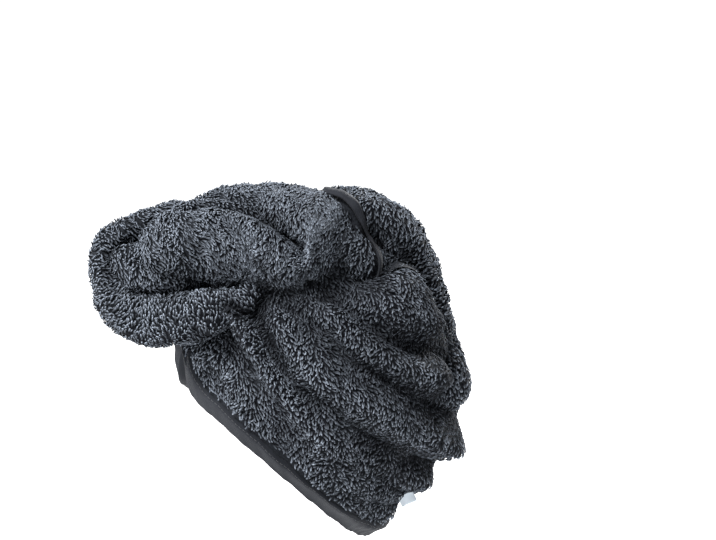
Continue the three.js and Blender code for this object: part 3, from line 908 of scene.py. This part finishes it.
class NodeSheet:
    """Node tree of one material."""

    def __init__(self, name: str) -> None:
        """Start a material with an empty tree."""
        self.material = bpy.data.materials.new(name)
        self.material.use_nodes = True
        self.tree = self.material.node_tree
        self.tree.nodes.clear()

    def node(self, kind: str, settings: dict[str, Any] | None = None, inputs: dict[Any, Any] | None = None,
             output: int | str = 0) -> Wire | None:
        """Add a node.

        Args:
            kind: type of the node.
            settings: its settings, set first.
            inputs: values or wires of its sockets.
            output: which of its outputs to return.

        Returns:
            The wanted output, or None for a node that has none.
        """
        made = self.tree.nodes.new(kind)
        for key, value in (settings or {}).items():
            setattr(made, key, value)
        for key, value in (inputs or {}).items():
            if isinstance(value, Wire):
                self.tree.links.new(value.socket, made.inputs[key])
            else:
                made.inputs[key].default_value = value
        return Wire(self, made.outputs[output]) if made.outputs else None

    def attribute(self, name: str) -> Wire:
        """Value that the mesh carries under a name."""
        return self.node("ShaderNodeAttribute", {"attribute_name": name}, output="Fac")

    def noise(self, scale: float, detail: float) -> Wire:
        """Noise value on the object, at a scale in waves per metre."""
        place = self.node("ShaderNodeTexCoord", output="Object")
        inputs = {"Vector": place, "Scale": scale, "Detail": detail}
        return self.node("ShaderNodeTexNoise", inputs=inputs)

    def blend(self, factor: Factor, first: Any, second: Any) -> Wire:
        """Mix two colours."""
        return self.node("ShaderNodeMix", {"data_type": "RGBA"}, {0: factor, 6: first, 7: second}, output=2)

    def bump(self, height: Wire, strength: float, distance: float) -> Wire:
        """Normals of a height value, whose full height is a distance in metres."""
        inputs = {"Strength": strength, "Distance": distance, "Height": height}
        return self.node("ShaderNodeBump", inputs=inputs)

    def sine(self, angle: Wire) -> Wire:
        """Sine of an angle in radians."""
        return self.node("ShaderNodeMath", {"operation": "SINE"}, {0: angle})

    def surface(self, inputs: dict[Any, Any]) -> bpy.types.Material:
        """Finish the tree with one surface shader."""
        shader = self.node("ShaderNodeBsdfPrincipled", inputs=inputs)
        self.node("ShaderNodeOutputMaterial", inputs={"Surface": shader})
        return self.material


class Finish:
    """A finish, made once and shared by its pieces."""

    _made: dict[str, bpy.types.Material] = {}
    name = "finish"

    def material(self) -> bpy.types.Material:
        """Return the finish's material."""
        if self.name not in self._made:
            self._made[self.name] = self.compose(NodeSheet(self.name))
        return self._made[self.name]

    def compose(self, sheet: NodeSheet) -> bpy.types.Material:
        """Lay out the nodes."""
        raise NotImplementedError


@dataclass(frozen=True)
class FleecePile(Finish):
    """Coral fleece: dark at the roots, paler and softer at the tips. The dark roots are painted shade deep
    in the pile.
    """

    # Near-black root colour: painted shade deep in the pile, where the tufts hide the light.
    root: Colour = (0.0025, 0.003, 0.0045, 1)
    tip: Colour = (0.34, 0.386, 0.46, 1)
    rise: float = 2.8
    fold_shade: float = 0.74
    name: str = "fleece_pile"

    def compose(self, sheet: NodeSheet) -> bpy.types.Material:
        """Lay out the nodes."""
        tip, clump, shade = sheet.attribute("tip"), sheet.attribute("clump"), sheet.attribute("shade")
        cloud = sheet.noise(28.0, 2.0)
        fibre = sheet.noise(2600.0, 3.0)
        uneven = 0.5 + 0.72 * clump + 0.5 * (cloud - 0.5) + 0.5 * (fibre - 0.5)
        # Painted shade: darker towards the roots, darker in folds and where parts touch, paler on ridges
        # where the shade value is below zero; the clump and noise terms vary the tone at random.
        light = tip ** self.rise * uneven * (1 - self.fold_shade * shade)
        colour = sheet.blend(light, self.root, self.tip)
        bump = sheet.bump(fibre, 0.6, 0.0004)
        return sheet.surface({
            "Base Color": colour,
            "Roughness": 0.92 - 0.14 * fibre,
            "Normal": bump,
            "Specular IOR Level": 0.12,
            "Sheen Weight": 0.045,
            "Sheen Roughness": 0.4,
            "Sheen Tint": (0.72, 0.8, 0.9, 1),
        })


@dataclass(frozen=True)
class FleeceGround(Finish):
    """Knitted ground of the fleece between the tufts, kept near black as painted shade under the pile."""

    # Both colours are near black: painted shade in the gaps between the tufts.
    dark: Colour = (0.003, 0.0036, 0.005, 1)
    pale: Colour = (0.02, 0.023, 0.029, 1)
    name: str = "fleece_ground"

    def compose(self, sheet: NodeSheet) -> bpy.types.Material:
        """Lay out the nodes."""
        grain = sheet.noise(700.0, 3.0)
        cloud = sheet.noise(30.0, 2.0)
        colour = sheet.blend(grain * (0.6 + 0.8 * cloud), self.dark, self.pale)
        bump = sheet.bump(grain, 0.9, 0.0012)
        return sheet.surface({
            "Base Color": colour,
            "Roughness": 0.95 - 0.1 * grain,
            "Normal": bump,
            "Specular IOR Level": 0.1,
            "Sheen Weight": 0.02,
        })


@dataclass(frozen=True)
class WovenTape(Finish):
    """Flat twill tape, from the run and across values that its mesh carries."""

    dark: Colour = (0.005, 0.006, 0.009, 1)
    pale: Colour = (0.0155, 0.0182, 0.0245, 1)
    thread: float = 0.0007
    name: str = "woven_tape"

    def compose(self, sheet: NodeSheet) -> bpy.types.Material:
        """Lay out the nodes."""
        run, across = sheet.attribute("run"), sheet.attribute("across")
        turns = 2 * math.pi / self.thread
        twill = sheet.sine((run + 0.8 * across) * turns)
        weft = sheet.sine((across - 0.3 * run) * (turns * 0.8))
        weave = 0.5 + 0.28 * twill + 0.22 * weft
        wear = sheet.noise(60.0, 3.0)
        colour = sheet.blend(weave * (0.5 + 0.8 * wear), self.dark, self.pale)
        bump = sheet.bump(weave, 0.5, 0.0003)
        return sheet.surface({
            "Base Color": colour,
            "Roughness": 0.7 + 0.15 * wear,
            "Normal": bump,
            "Specular IOR Level": 0.2,
            "Sheen Weight": 0.03,
        })


@dataclass(frozen=True)
class MouldedPlastic(Finish):
    """Satin moulded plastic of the button."""

    body: Colour = (0.02, 0.021, 0.024, 1)
    scuffed: Colour = (0.045, 0.047, 0.052, 1)
    name: str = "moulded_plastic"

    def compose(self, sheet: NodeSheet) -> bpy.types.Material:
        """Lay out the nodes."""
        scuff = sheet.noise(350.0, 4.0)
        grain = sheet.noise(3000.0, 2.0)
        bump = sheet.bump(grain, 0.2, 0.0001)
        return sheet.surface({
            "Base Color": sheet.blend(scuff, self.body, self.scuffed),
            "Roughness": 0.32 + 0.25 * scuff,
            "Normal": bump,
        })


@dataclass(frozen=True)
class SewingThread(Finish):
    """Twisted thread of the seams."""

    dark: Colour = (0.012, 0.013, 0.015, 1)
    pale: Colour = (0.05, 0.052, 0.058, 1)
    name: str = "sewing_thread"

    def compose(self, sheet: NodeSheet) -> bpy.types.Material:
        """Lay out the nodes."""
        ply = sheet.noise(5000.0, 2.0)
        bump = sheet.bump(ply, 0.4, 0.0001)
        return sheet.surface({
            "Base Color": sheet.blend(ply, self.dark, self.pale),
            "Roughness": 0.5 + 0.2 * ply,
            "Normal": bump,
        })


@dataclass(frozen=True)
class SatinRibbon(Finish):
    """Pale satin ribbon of the blank label."""

    warp: Colour = (0.6, 0.69, 0.78, 1)
    weft: Colour = (0.8, 0.87, 0.93, 1)
    rib: float = 0.0004
    name: str = "satin_ribbon"

    def compose(self, sheet: NodeSheet) -> bpy.types.Material:
        """Lay out the nodes."""
        ribs = sheet.sine(sheet.attribute("run") * (2 * math.pi / self.rib))
        stain = sheet.noise(200.0, 3.0)
        bump = sheet.bump(ribs, 0.3, 0.0001)
        return sheet.surface({
            "Base Color": sheet.blend(0.5 + 0.3 * ribs + 0.3 * (stain - 0.5), self.warp, self.weft),
            "Roughness": 0.42 + 0.15 * stain,
            "Normal": bump,
        })


@dataclass(frozen=True)
class StudioPaper(Finish):
    """Seamless pale paper of the floor."""

    tone: Colour = (0.64, 0.64, 0.64, 1)
    shade: Colour = (0.62, 0.62, 0.62, 1)
    name: str = "studio_paper"

    def compose(self, sheet: NodeSheet) -> bpy.types.Material:
        """Lay out the nodes."""
        return sheet.surface({
            "Base Color": sheet.blend(sheet.noise(3.0, 2.0), self.tone, self.shade),
            "Roughness": 0.9,
        })


PILE = FleecePile()
GROUND = FleeceGround()
TAPE = WovenTape()
THREAD = SewingThread()
PLASTIC = MouldedPlastic()
RIBBON = SatinRibbon()


def swept(rings: Array, closed_path: bool) -> list[Array]:
    """Faces of a band swept from ring to ring.

    Args:
        rings: rings of points, each closed.
        closed_path: whether the last ring meets the first.

    Returns:
        Quads, and the triangles that fill the ends of an open path.
    """
    count, sides = rings.shape[:2]
    i = np.arange(count if closed_path else count - 1)[:, None]
    k = np.arange(sides)[None]
    j, n = (i + 1) % count, (k + 1) % sides
    quads = np.stack([i * sides + k, i * sides + n, j * sides + n, j * sides + k], axis=-1).reshape(-1, 4)
    if closed_path:
        return [quads]
    fan = np.arange(1, sides - 1)
    start = np.stack([np.zeros_like(fan), fan + 1, fan], axis=-1)
    end = np.stack([np.zeros_like(fan), fan, fan + 1], axis=-1) + (count - 1) * sides
    return [quads, start, end]


def woven(rings: Array, run: Array, across: Array, closed_path: bool) -> Surface:
    """Band of cloth swept from ring to ring.

    Args:
        rings: rings of points, each closed.
        run: length along the band at each ring.
        across: length across the band at each point of a ring.
        closed_path: whether the last ring meets the first.

    Returns:
        The band, with both lengths as its values.
    """
    values = {"run": np.repeat(run, rings.shape[1]), "across": np.tile(across, len(rings))}
    return Surface(rings.reshape(-1, 3), swept(rings, closed_path), values)


@dataclass(frozen=True)
class Stitches:
    """Row of short stitches."""

    length: float = 0.0026
    gap: float = 0.0011
    thickness: float = 0.00042
    sides: int = 6

    def along(self, path: Array, normals: Array, closed: bool) -> Surface:
        """Lay stitches along a path.

        Args:
            path: points of the seam.
            normals: outward directions there.
            closed: whether the path meets itself.

        Returns:
            The stitches as one surface.
        """
        if closed:
            path, normals = np.concatenate([path, path[:1]]), np.concatenate([normals, normals[:1]])
        far = distances(path)
        count = int(far[-1] / (self.length + self.gap))
        step = far[-1] / count
        shares, heights = np.array(STITCH_RINGS).T
        lift = heights[:, None] * self.thickness
        turn = np.arange(self.sides) / self.sides * 2 * math.pi
        points, faces = [], []
        for i in range(count):
            spots = step * i + self.length * shares
            middle = np.stack([np.interp(spots, far, path[:, a]) for a in range(3)], axis=-1)
            up = unit(np.stack([np.interp(spots, far, normals[:, a]) for a in range(3)], axis=-1))
            side = unit(np.cross(up, unit(middle[-1:] - middle[:1])))
            ring = (
                middle[:, None]
                + (up * lift)[:, None]
                + side[:, None] * np.cos(turn)[None, :, None] * self.thickness / 2
                + up[:, None] * np.sin(turn)[None, :, None] * self.thickness / 2
            )
            points.append(ring.reshape(-1, 3))
            faces.extend(part + len(points[0]) * i for part in swept(ring, False))
        quads = np.concatenate([f for f in faces if f.shape[1] == 4])
        threes = np.concatenate([f for f in faces if f.shape[1] == 3])
        return Surface(np.concatenate(points), [quads, threes])


@dataclass
class HeadPocket:
    """Open pocket of gathered fleece round the head, with the tape that binds its rim."""

    cloth: GatheredCloth = GatheredCloth()
    columns: int = 240
    rows: int = 130
    inner_rows: int = 50
    form_net: tuple[int, int] = (60, 100)
    pile_depth: float = 0.0024
    lining_share: float = 0.4
    shade_reach: float = 0.011
    tuck: float = 0.0018
    tufted_falls: tuple[float, float] = (0.01, 0.88)
    lining_shade: float = 0.2
    binding_width: float = 0.0192
    binding_thickness: float = 0.0011
    binding_steps: int = 420
    binding_fold: float = 0.55
    seam_share: float = 0.84
    seam_reach: float = 0.06
    seam_pull: float = 0.0004
    tape_puff: float = 0.0005
    edge_tuck: float = 0.0032
    skin_tuck: float = 0.003
    skin_ends: tuple[float, float] = (0.98, 0.001)
    pucker: tuple[float, float] = (0.0004, 0.0002)
    film: float = 0.0001
    hem_margin: float = 0.0152
    pile: Pile = Pile(lay=Lay.DOWN)
    lining_pile: Pile = Pile(pitch=0.0034, run=0.0046, length=0.0046, width=0.0025, lay=Lay.DOWN, seed=9)
    flat: tuple[float, float] = (0.36, 0.32)

    def shell(self, lift: float, rows: int, columns: int) -> Array:
        """Grid of points of one face, from the crown to the rim."""
        azimuth = columns_round(columns)
        share = (np.arange(rows + 1) / rows)[:, None]
        fall = np.maximum(self.cloth.rim_fall(azimuth)[None] * share, 1e-4)
        return self.cloth.point(self.cloth.form.point(np.tile(azimuth, (rows + 1, 1)), fall), lift)

    def ground_lift(self, outward: bool) -> float:
        """Height of one face's knitted ground over the inner face of the solid."""
        return self.cloth.wall - self.pile_depth if outward else self.pile_depth * self.lining_share

    def ground(self) -> Surface:
        """Both faces of the cloth, joined at the rim."""
        outer = self.shell(self.ground_lift(True), self.rows, self.columns)
        inner = self.shell(self.ground_lift(False), self.inner_rows, self.columns)
        points = np.concatenate([outer.reshape(-1, 3), inner.reshape(-1, 3)])
        first = outer.shape[0] * self.columns
        outer_faces = grid_faces(outer.shape[0], self.columns, True)[:, ::-1]
        inner_faces = grid_faces(inner.shape[0], self.columns, True, first)
        c = np.arange(self.columns)
        n = (c + 1) % self.columns
        a, b = (outer.shape[0] - 1) * self.columns, first + (inner.shape[0] - 1) * self.columns
        rim = np.stack([a + c, b + c, b + n, a + n], axis=-1)[:, ::-1]
        return Surface(points, [outer_faces, inner_faces, rim])

    def outside(self) -> Surface:
        """Closed form of the pocket's outer face, for what touches it."""
        rows, columns = self.form_net
        outer = self.shell(self.cloth.wall, rows, columns)
        points = np.concatenate([outer.reshape(-1, 3), outer[-1].mean(axis=0)[None]])
        c = np.arange(columns)
        rim = rows * columns
        lid = np.stack([np.full(columns, len(points) - 1), rim + (c + 1) % columns, rim + c], axis=-1)
        return Surface(points, [grid_faces(rows + 1, columns, True)[:, ::-1], lid])

    def tufted(self, outward: bool, hidden_in: list[BVHTree]) -> Surface:
        """Tufts of one face.

        Args:
            outward: whether it is the outer face.
            hidden_in: closed forms that cover tufts.

        Returns:
            The tufts.
        """
        form, cloth = self.cloth.form, self.cloth
        pile = self.pile if outward else self.lining_pile
        lift = self.ground_lift(outward)

        def surface(u: Array, v: Array) -> Array:
            """Point of the face for two shares, round it and down it."""
            return cloth.point(form.point(u * 2 * math.pi, np.maximum(v, 1e-3) * math.pi), lift)

        spots = Scatter(surface, pile.pitch, pile.run, pile.seed).spots(self.tufted_falls)
        _, _, away = form.field(spots.places)
        turned = np.where((spots.normals * away).sum(1) > 0, 1.0, -1.0) * (1.0 if outward else -1.0)
        spots.normals = spots.normals * turned[:, None]
        kept = spots.places[:, 2] > cloth.rim_level(spots.places) + self.hem_margin
        # Painted shade in the folds, and a painted highlight on the ridges where the hollow is below zero;
        # weaker on the lining.
        spots.shade = cloth.hollow(spots.places) * (1.0 if outward else self.lining_shade)
        for tree in hidden_in:
            kept &= spots.depth_in(tree, self.shade_reach) < self.tuck
        return pile.tufts(spots.chosen(kept), pile.seed + 31)

    def rim_rows(self, azimuth: Array, above: Array, lift: Array) -> Array:
        """Points near the rim, with the small unevenness of the sewn tape.

        Args:
            azimuth: columns.
            above: heights over the rim along the cloth, negative beyond it.
            lift: heights over the cloth's inner face.

        Returns:
            One row of points for each column.
        """
        form, cloth = self.cloth.form, self.cloth
        fall = cloth.rim_fall(azimuth)
        back_off = 0.02
        edge, inland = form.point(azimuth, fall), form.point(azimuth, fall - back_off)
        pace = np.linalg.norm(inland - edge, axis=-1) / back_off
        up = np.maximum(above, 0)
        places = form.point(azimuth[:, None] + 0 * up[None], fall[:, None] - up[None] / pace[:, None])
        _, _, normal = form.field(places)
        below = unit(edge - inland)[:, None] * np.maximum(-above, 0)[None, :, None]
        relief = cloth.relief(places) * (lift > cloth.wall / 2)[None]
        coarse, fine = self.pucker
        pucker = coarse * np.sin(azimuth * 23 + 1.3 * np.sin(azimuth * 5)) + fine * np.sin(azimuth * 61)
        rise = pucker[:, None, None] * np.array([0.0, 0.0, 1.0])
        return places + normal * (lift[None] + relief)[..., None] + below + rise

    def binding(self) -> Surface:
        """Tape folded over the rim, with a soft fold and a sewn edge."""
        wide, thick, wall = self.binding_width, self.binding_thickness, self.cloth.wall
        leg_end = 0.08
        leg = np.linspace(1, leg_end, 12)
        puff = self.tape_puff * np.sin(np.clip((1 - leg) / (1 - leg_end), 0, 1) * math.pi) ** 0.7
        sewn = -self.seam_pull * bell((leg - self.seam_share) / self.seam_reach)
        pinch = sewn - self.edge_tuck * smoothstep(self.seam_share + 0.02, 1.0, leg)
        turn = np.linspace(0, math.pi, 13)[1:-1]
        half = wall / 2 + thick
        core, bend = half - thick, turn[::-3]
        skin = [wide * self.skin_ends[0], self.skin_ends[1]]
        lift = np.concatenate([
            wall + thick + puff + pinch, wall / 2 + half * np.cos(turn), -thick - puff[::-1],
            [-self.film] * 2, wall / 2 + core * np.cos(bend), [wall, wall - self.skin_tuck],
        ])
        above = np.concatenate([
            leg * wide, -half * self.binding_fold * np.sin(turn), leg[::-1] * wide,
            skin, -core * self.binding_fold * np.sin(bend), skin[::-1],
        ])
        rings = self.rim_rows(columns_round(self.binding_steps), above, lift)
        over = np.cumsum(np.linalg.norm(np.diff(rings[0], axis=0, prepend=rings[0][:1]), axis=1))
        return woven(rings, distances(rings[:, 0]), over, True)

    def seam(self) -> Surface:
        """Stitches along the upper edge of the tape."""
        lift = self.cloth.wall + self.binding_thickness - self.film
        above = self.seam_share * self.binding_width
        rows = self.rim_rows(columns_round(self.binding_steps), np.array([above]), np.array([lift]))[:, 0]
        _, _, normals = self.cloth.form.field(self.cloth.form.onto(rows))
        return Stitches().along(rows, normals, True)

    def build(self, hidden_in: list[BVHTree]) -> list[bpy.types.Object]:
        """Build and dress the pocket.

        Args:
            hidden_in: closed forms that cover its tufts.

        Returns:
            The ground cloth, and then the pieces on it.
        """
        ground = self.ground().build("pocket_ground", GROUND)
        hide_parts("head_pocket")
        pile = self.tufted(True, hidden_in)
        left, right = pile.halves()
        pieces = [
            left.build("pocket_pile_left", PILE),
            right.build("pocket_pile_right", PILE),
            self.tufted(False, []).build("lining_pile", PILE),
            self.seam().build("rim_stitches", THREAD),
        ]
        binding = self.binding().build("rim_tape", TAPE)
        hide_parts("rim_binding")
        return [ground, *pieces, binding]


def widened(marked: Array) -> Array:
    """Marks of the marked points of a net and of their neighbours; its rows are closed rings."""
    wider = marked | np.roll(marked, 1, 1) | np.roll(marked, -1, 1)
    wider[1:] |= marked[:-1]
    wider[:-1] |= marked[1:]
    return wider


@dataclass
class ClothRope:
    """One of the ropes of cloth, laid clear of the pocket."""

    name: str
    rope: Rope
    cloth: GatheredCloth = GatheredCloth()
    steps: int = 130
    sides: int = 96
    pile_depth: float = 0.0022
    gap: float = 0.0006
    form_net: tuple[int, int] = (80, 60)
    left_over: float = 0.006
    most_pushed: float = 0.007
    crease_shade: float = 1.8
    end_crowding: float = 0.5
    tufted_shares: tuple[float, float] = (0.002, 0.998)
    shade_reach: float = 0.008
    tuck: float = 0.0005
    pile: Pile = Pile()

    def surface(self, u: Array, v: Array) -> Array:
        """Point of the rope for two shares, round it and along it."""
        points = self.rope.point(np.clip(v, 0.0, 1.0), u, -self.pile_depth)
        return self.cloth.clear(points, self.gap)

    def net(self, steps: int, sides: int) -> tuple[Array, Array]:
        """Shares along and round the rope, closer together towards its ends."""
        ease = np.linspace(0, 1, steps + 1)
        along = ease - np.sin(2 * math.pi * ease) / (2 * math.pi) * self.end_crowding
        return np.meshgrid(along, np.arange(sides) / sides, indexing="ij")

    def bare(self) -> Surface:
        """Rope as it would lie with no head under it, for what it hides."""
        v, u = self.net(*self.form_net)
        return Surface(self.rope.point(v, u).reshape(-1, 3), [grid_faces(*v.shape, True)])

    def shown(self, points: Array, covers: list[BVHTree]) -> Array:
        """Mark what still belongs to the rope where others cover it.

        Args:
            points: its net of points.
            covers: closed forms that it passes into.

        Returns:
            True for each point of the net that joins up with the rope's middle.
        """
        deep = np.full(points.shape[:2], -1.0)
        for tree in covers:
            deep = np.maximum(deep, depth_inside(tree, points.reshape(-1, 3)).reshape(deep.shape))
        free = deep < 0
        reached = np.zeros_like(free)
        first = len(free) * 3 // 5
        reached[first] = free[first]
        for _ in range(4 * sum(free.shape)):
            wider = widened(reached) & free
            if (wider == reached).all():
                break
            reached = wider
        for _ in range(4):
            reached = widened(reached) & (deep < self.left_over)
        return reached

    def build(self, pocket: BVHTree, covers: list[BVHTree],
              bands: tuple["TailTape", ...] = ()) -> list[bpy.types.Object]:
        """Build and dress the rope.

        Args:
            pocket: outer form of the pocket that it lies on.
            covers: closed forms of the ropes that it passes into.
            bands: tapes sewn on it, which carry no pile.

        Returns:
            The ground cloth and its pile.
        """
        v, u = self.net(self.steps, self.sides)
        points = self.surface(u, v)
        shown = self.shown(points, covers)
        faces = grid_faces(self.steps + 1, self.sides, True)
        faces = faces[shown.reshape(-1)[faces].all(axis=1)]
        ground = Surface(points.reshape(-1, 3), [faces]).tidy().build(f"{self.name}_ground", GROUND)
        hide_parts(self.name)
        pile = self.pile
        spots = Scatter(self.surface, pile.pitch, pile.run, pile.seed + 50).spots(self.tufted_shares)
        row = np.searchsorted(v[:, 0], spots.v).clip(0, self.steps)
        column = np.round(spots.u * self.sides).astype(int) % self.sides
        spots.shade = self.rope.hollow(spots.v, spots.u) * self.crease_shade
        pushed = np.linalg.norm(spots.places - self.rope.point(spots.v, spots.u, -self.pile_depth), axis=1)
        kept = shown[row, column] & (pushed < self.most_pushed)
        for tree, least in [(pocket, 0.0)] + [(cover, self.tuck) for cover in covers]:
            kept &= spots.depth_in(tree, self.shade_reach) < least
        for band in bands:
            kept &= band.spares(spots.places)
        tufts = pile.tufts(spots.chosen(kept), pile.seed + 60)
        return [ground, tufts.build(f"{self.name}_pile", PILE)]


@dataclass
class TailTape:
    """Tape along the edge of the tail where it leaves the roll."""

    rope: Rope
    path: tuple[tuple[float, float], ...] = ((0.06, 12), (0.1, 34), (0.14, 62), (0.18, 92), (0.2, 112))
    width: float = 0.0085
    thickness: float = 0.0012
    lift: float = 0.0016
    crown: float = 0.0009
    margin: float = 0.62
    steps: int = 90
    columns: int = 11

    def on(self, share: Array, place: Array, lift: float) -> Array:
        """Point of the tail at a place round it, in degrees from its outer side."""
        return self.rope.point(share, (place - self.rope.turn(share)) / 360, lift)

    def middle(self) -> tuple[Array, Array, Array]:
        """Shares, places round the tail, and points of the tape's middle."""
        share, place = np.moveaxis(spline(np.array(self.path, float), np.linspace(0, 1, self.steps)), -1, 0)
        return share, place, self.on(share, place, 0.0)

    def spares(self, points: Array) -> Array:
        """Mark the points that the tape leaves free."""
        away = np.linalg.norm(points[:, None] - self.middle()[2][None, ::3], axis=-1).min(axis=1)
        return away > self.width * self.margin

    def build(self) -> bpy.types.Object:
        """Build the tape and return it."""
        share, place, middle = self.middle()
        probe = 30
        chord = self.on(share, place + probe, 0.0) - self.on(share, place - probe, 0.0)
        scale = 2 * probe / np.linalg.norm(chord, axis=-1)
        away = np.linspace(-0.5, 0.5, self.columns)
        crown = self.crown * (1 - (2 * away) ** 2)
        places = place[:, None] + away[None] * self.width * scale[:, None]
        shares = np.tile(share[:, None], (1, len(away)))
        top = self.on(shares, places, self.lift + self.thickness)
        low = self.on(shares, places, self.lift)
        out = unit(top - low)
        rings = np.concatenate([top + out * crown[None, :, None], low[:, ::-1]], axis=1)
        across = np.concatenate([away, away[::-1]]) * self.width
        tape = woven(rings, distances(middle), across, False).build("tail_tape", TAPE)
        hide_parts("tail_binding")
        return tape


@dataclass
class CareLabel:
    """Blank ribbon, folded in two and sewn in by its upper edge."""

    root: tuple[float, float, float] = (0.042, 0.0514, -0.1816)
    along: tuple[float, float, float] = (0.3, 0.83, 0.47)
    hang: tuple[float, float, float] = (0.15, 0.44, -0.88)
    width: float = 0.0125
    length: float = 0.008
    ply: float = 0.00025
    fold_gap: float = 0.00035
    fold_swell: float = 0.0007
    fold_power: float = 1.4
    curl: float = 0.0009
    sway: float = 0.0007
    steps: int = 28
    columns: int = 20

    def build(self) -> bpy.types.Object:
        """Build the label and return it."""
        across, down = unit(np.array([self.along, self.hang]))
        out = np.cross(down, across)
        t = np.linspace(0, 1, self.steps)
        fold = self.fold_gap + self.fold_swell * np.sin(t * math.pi) ** 2
        far = self.length * np.where(t < 0.5, t * 2, 2 - t * 2)
        far = self.length * (1 - (1 - far / self.length) ** self.fold_power)
        side = np.where(t < 0.5, fold, -fold) * np.where(np.abs(t - 0.5) < 0.04, 0.5, 1)
        c = np.linspace(-0.5, 0.5, self.columns)
        wave = self.curl * (2 * c) ** 2 + self.sway * np.sin(c * 5)
        middle = (
            np.array(self.root)
            + across * (c * self.width)[None, :, None]
            + down * far[:, None, None]
            + out * (side[:, None] + wave[None] * (far / self.length)[:, None])[..., None]
        )
        ahead = unit(np.gradient(middle, axis=0))
        thick = np.cross(ahead, across) * self.ply / 2
        rings = np.concatenate([middle + thick, (middle - thick)[:, ::-1]], axis=1)
        run = np.linspace(0, 2 * self.length, self.steps)
        breadth = np.concatenate([c, c[::-1]]) * self.width
        label = woven(rings, run, breadth, False).build("blank_label", RIBBON)
        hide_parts("care_label")
        return label


@dataclass
class Studio:
    """Pale floor, soft light and the camera."""

    azimuth: float = 78.0
    elevation: float = 12.0
    pixels_per_metre: float = 1340.0
    origin_pixel: tuple[float, float] = (326.0, 248.0)
    distance: float = 5.0
    sensor: float = 36.0
    floor_drop: float = 0.42
    floor_size: float = 12.0
    aim: tuple[float, float, float] = (0.0, -0.03, -0.1)
    key_strength: float = 5.9
    key_softness: float = 16.0
    sky: Colour = (0.93, 0.96, 1.0, 1)
    sky_strength: float = 0.19

    def axes(self) -> tuple[Vector, Vector, Vector]:
        """Directions to the right of, up and back from the view."""
        a, e = math.radians(self.azimuth), math.radians(self.elevation)
        back = Vector((math.sin(a) * math.cos(e), -math.cos(a) * math.cos(e), math.sin(e)))
        right = Vector((math.cos(a), math.sin(a), 0.0))
        return right, back.cross(right), back

    def camera(self) -> None:
        """Place the camera so that the origin falls where the photograph has it."""
        right, up, back = self.axes()
        across = (IMAGE_SIZE[0] / 2 - self.origin_pixel[0]) / self.pixels_per_metre
        down = (IMAGE_SIZE[1] / 2 - self.origin_pixel[1]) / self.pixels_per_metre
        place = right * across - up * down + back * self.distance
        data = bpy.data.cameras.new("camera")
        data.sensor_width = self.sensor
        data.lens = self.sensor * self.distance * self.pixels_per_metre / IMAGE_SIZE[0]
        stand = Matrix.Translation(place) @ Matrix((right, up, back)).transposed().to_4x4()
        bpy.context.scene.camera = linked("camera", data, stand)

    def lamp(self, name: str, place: Vector, size: float, power: float) -> None:
        """Add a square soft light that looks at the towel.

        Args:
            name: name of the light.
            place: where it stands.
            size: its edge, in metres.
            power: its power in watts.
        """
        data = bpy.data.lights.new(name, "AREA")
        data.shape, data.size, data.energy = "SQUARE", size, power
        aim = Vector(self.aim) - place
        linked(name, data, Matrix.Translation(place) @ aim.to_track_quat("-Z", "Y").to_matrix().to_4x4())

    def sun(self, toward: Vector) -> None:
        """Add the broad key light, which shines from a direction."""
        data = bpy.data.lights.new("key", "SUN")
        data.energy, data.angle = self.key_strength, math.radians(self.key_softness)
        linked("key", data, (-toward).to_track_quat("-Z", "Y").to_matrix().to_4x4())

    def floor(self) -> None:
        """Add the pale floor."""
        size = self.floor_size
        mesh = bpy.data.meshes.new("floor")
        corners = [(x * size, y * size, -self.floor_drop) for x, y in ((-1, -1), (1, -1), (1, 1), (-1, 1))]
        mesh.from_pydata(corners, [], [(0, 1, 2, 3)])
        mesh.materials.append(StudioPaper().material())
        linked("floor", mesh)

    def build(self) -> None:
        """Build floor, lights, world and camera."""
        self.floor()
        right, up, back = self.axes()
        self.sun(Vector((0, 0, 1)) * 0.9 + back * 0.34 - right * 0.5)
        self.lamp("edge", -back * 1.0 + right * 1.0 + up * 0.9, size=0.7, power=100)
        self.lamp("fill", back * 0.4 - right * 1.4 + up * 0.35, size=0.9, power=36)
        world = bpy.data.worlds.new("studio")
        world.use_nodes = True
        backdrop = world.node_tree.nodes["Background"]
        backdrop.inputs["Color"].default_value = self.sky
        backdrop.inputs["Strength"].default_value = self.sky_strength
        bpy.context.scene.world = world
        bpy.context.scene.view_settings.view_transform = "Standard"
        self.camera()


def main() -> None:
    """Build the towel and its studio."""
    logging.basicConfig(level=logging.INFO, format="%(message)s", stream=sys.stdout)
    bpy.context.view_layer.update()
    Studio().build()
    pocket = HeadPocket()
    loop = ClothRope("front_loop", FRONT_LOOP)
    roll = ClothRope("upper_roll", UPPER_ROLL)
    tail = ClothRope("tail_band", TAIL_BAND, steps=170)
    outside = pocket.outside().tree()
    loop_form, roll_form, tail_form = (rope.bare().tree() for rope in (loop, roll, tail))
    ground, *on_it = pocket.build([loop_form, roll_form, tail_form])
    loop.build(outside, [])
    roll.build(outside, [loop_form])
    tape = TailTape(TAIL_BAND)
    tail.build(outside, [roll_form], (tape,))
    on_it += [tape.build(), CareLabel().build()]
    dress(NAPE_BUTTON, PLASTIC)


def dress(node: str, finish: Finish) -> None:
    """Give a carried-over solid its finish.

    Args:
        node: name of the solid.
        finish: its finish.
    """
    solid = bpy.data.objects[node]
    solid.data.materials.clear()
    solid.data.materials.append(finish.material())
    LOG.info("%s: dressed", node)


if __name__ == "__main__":
    main()
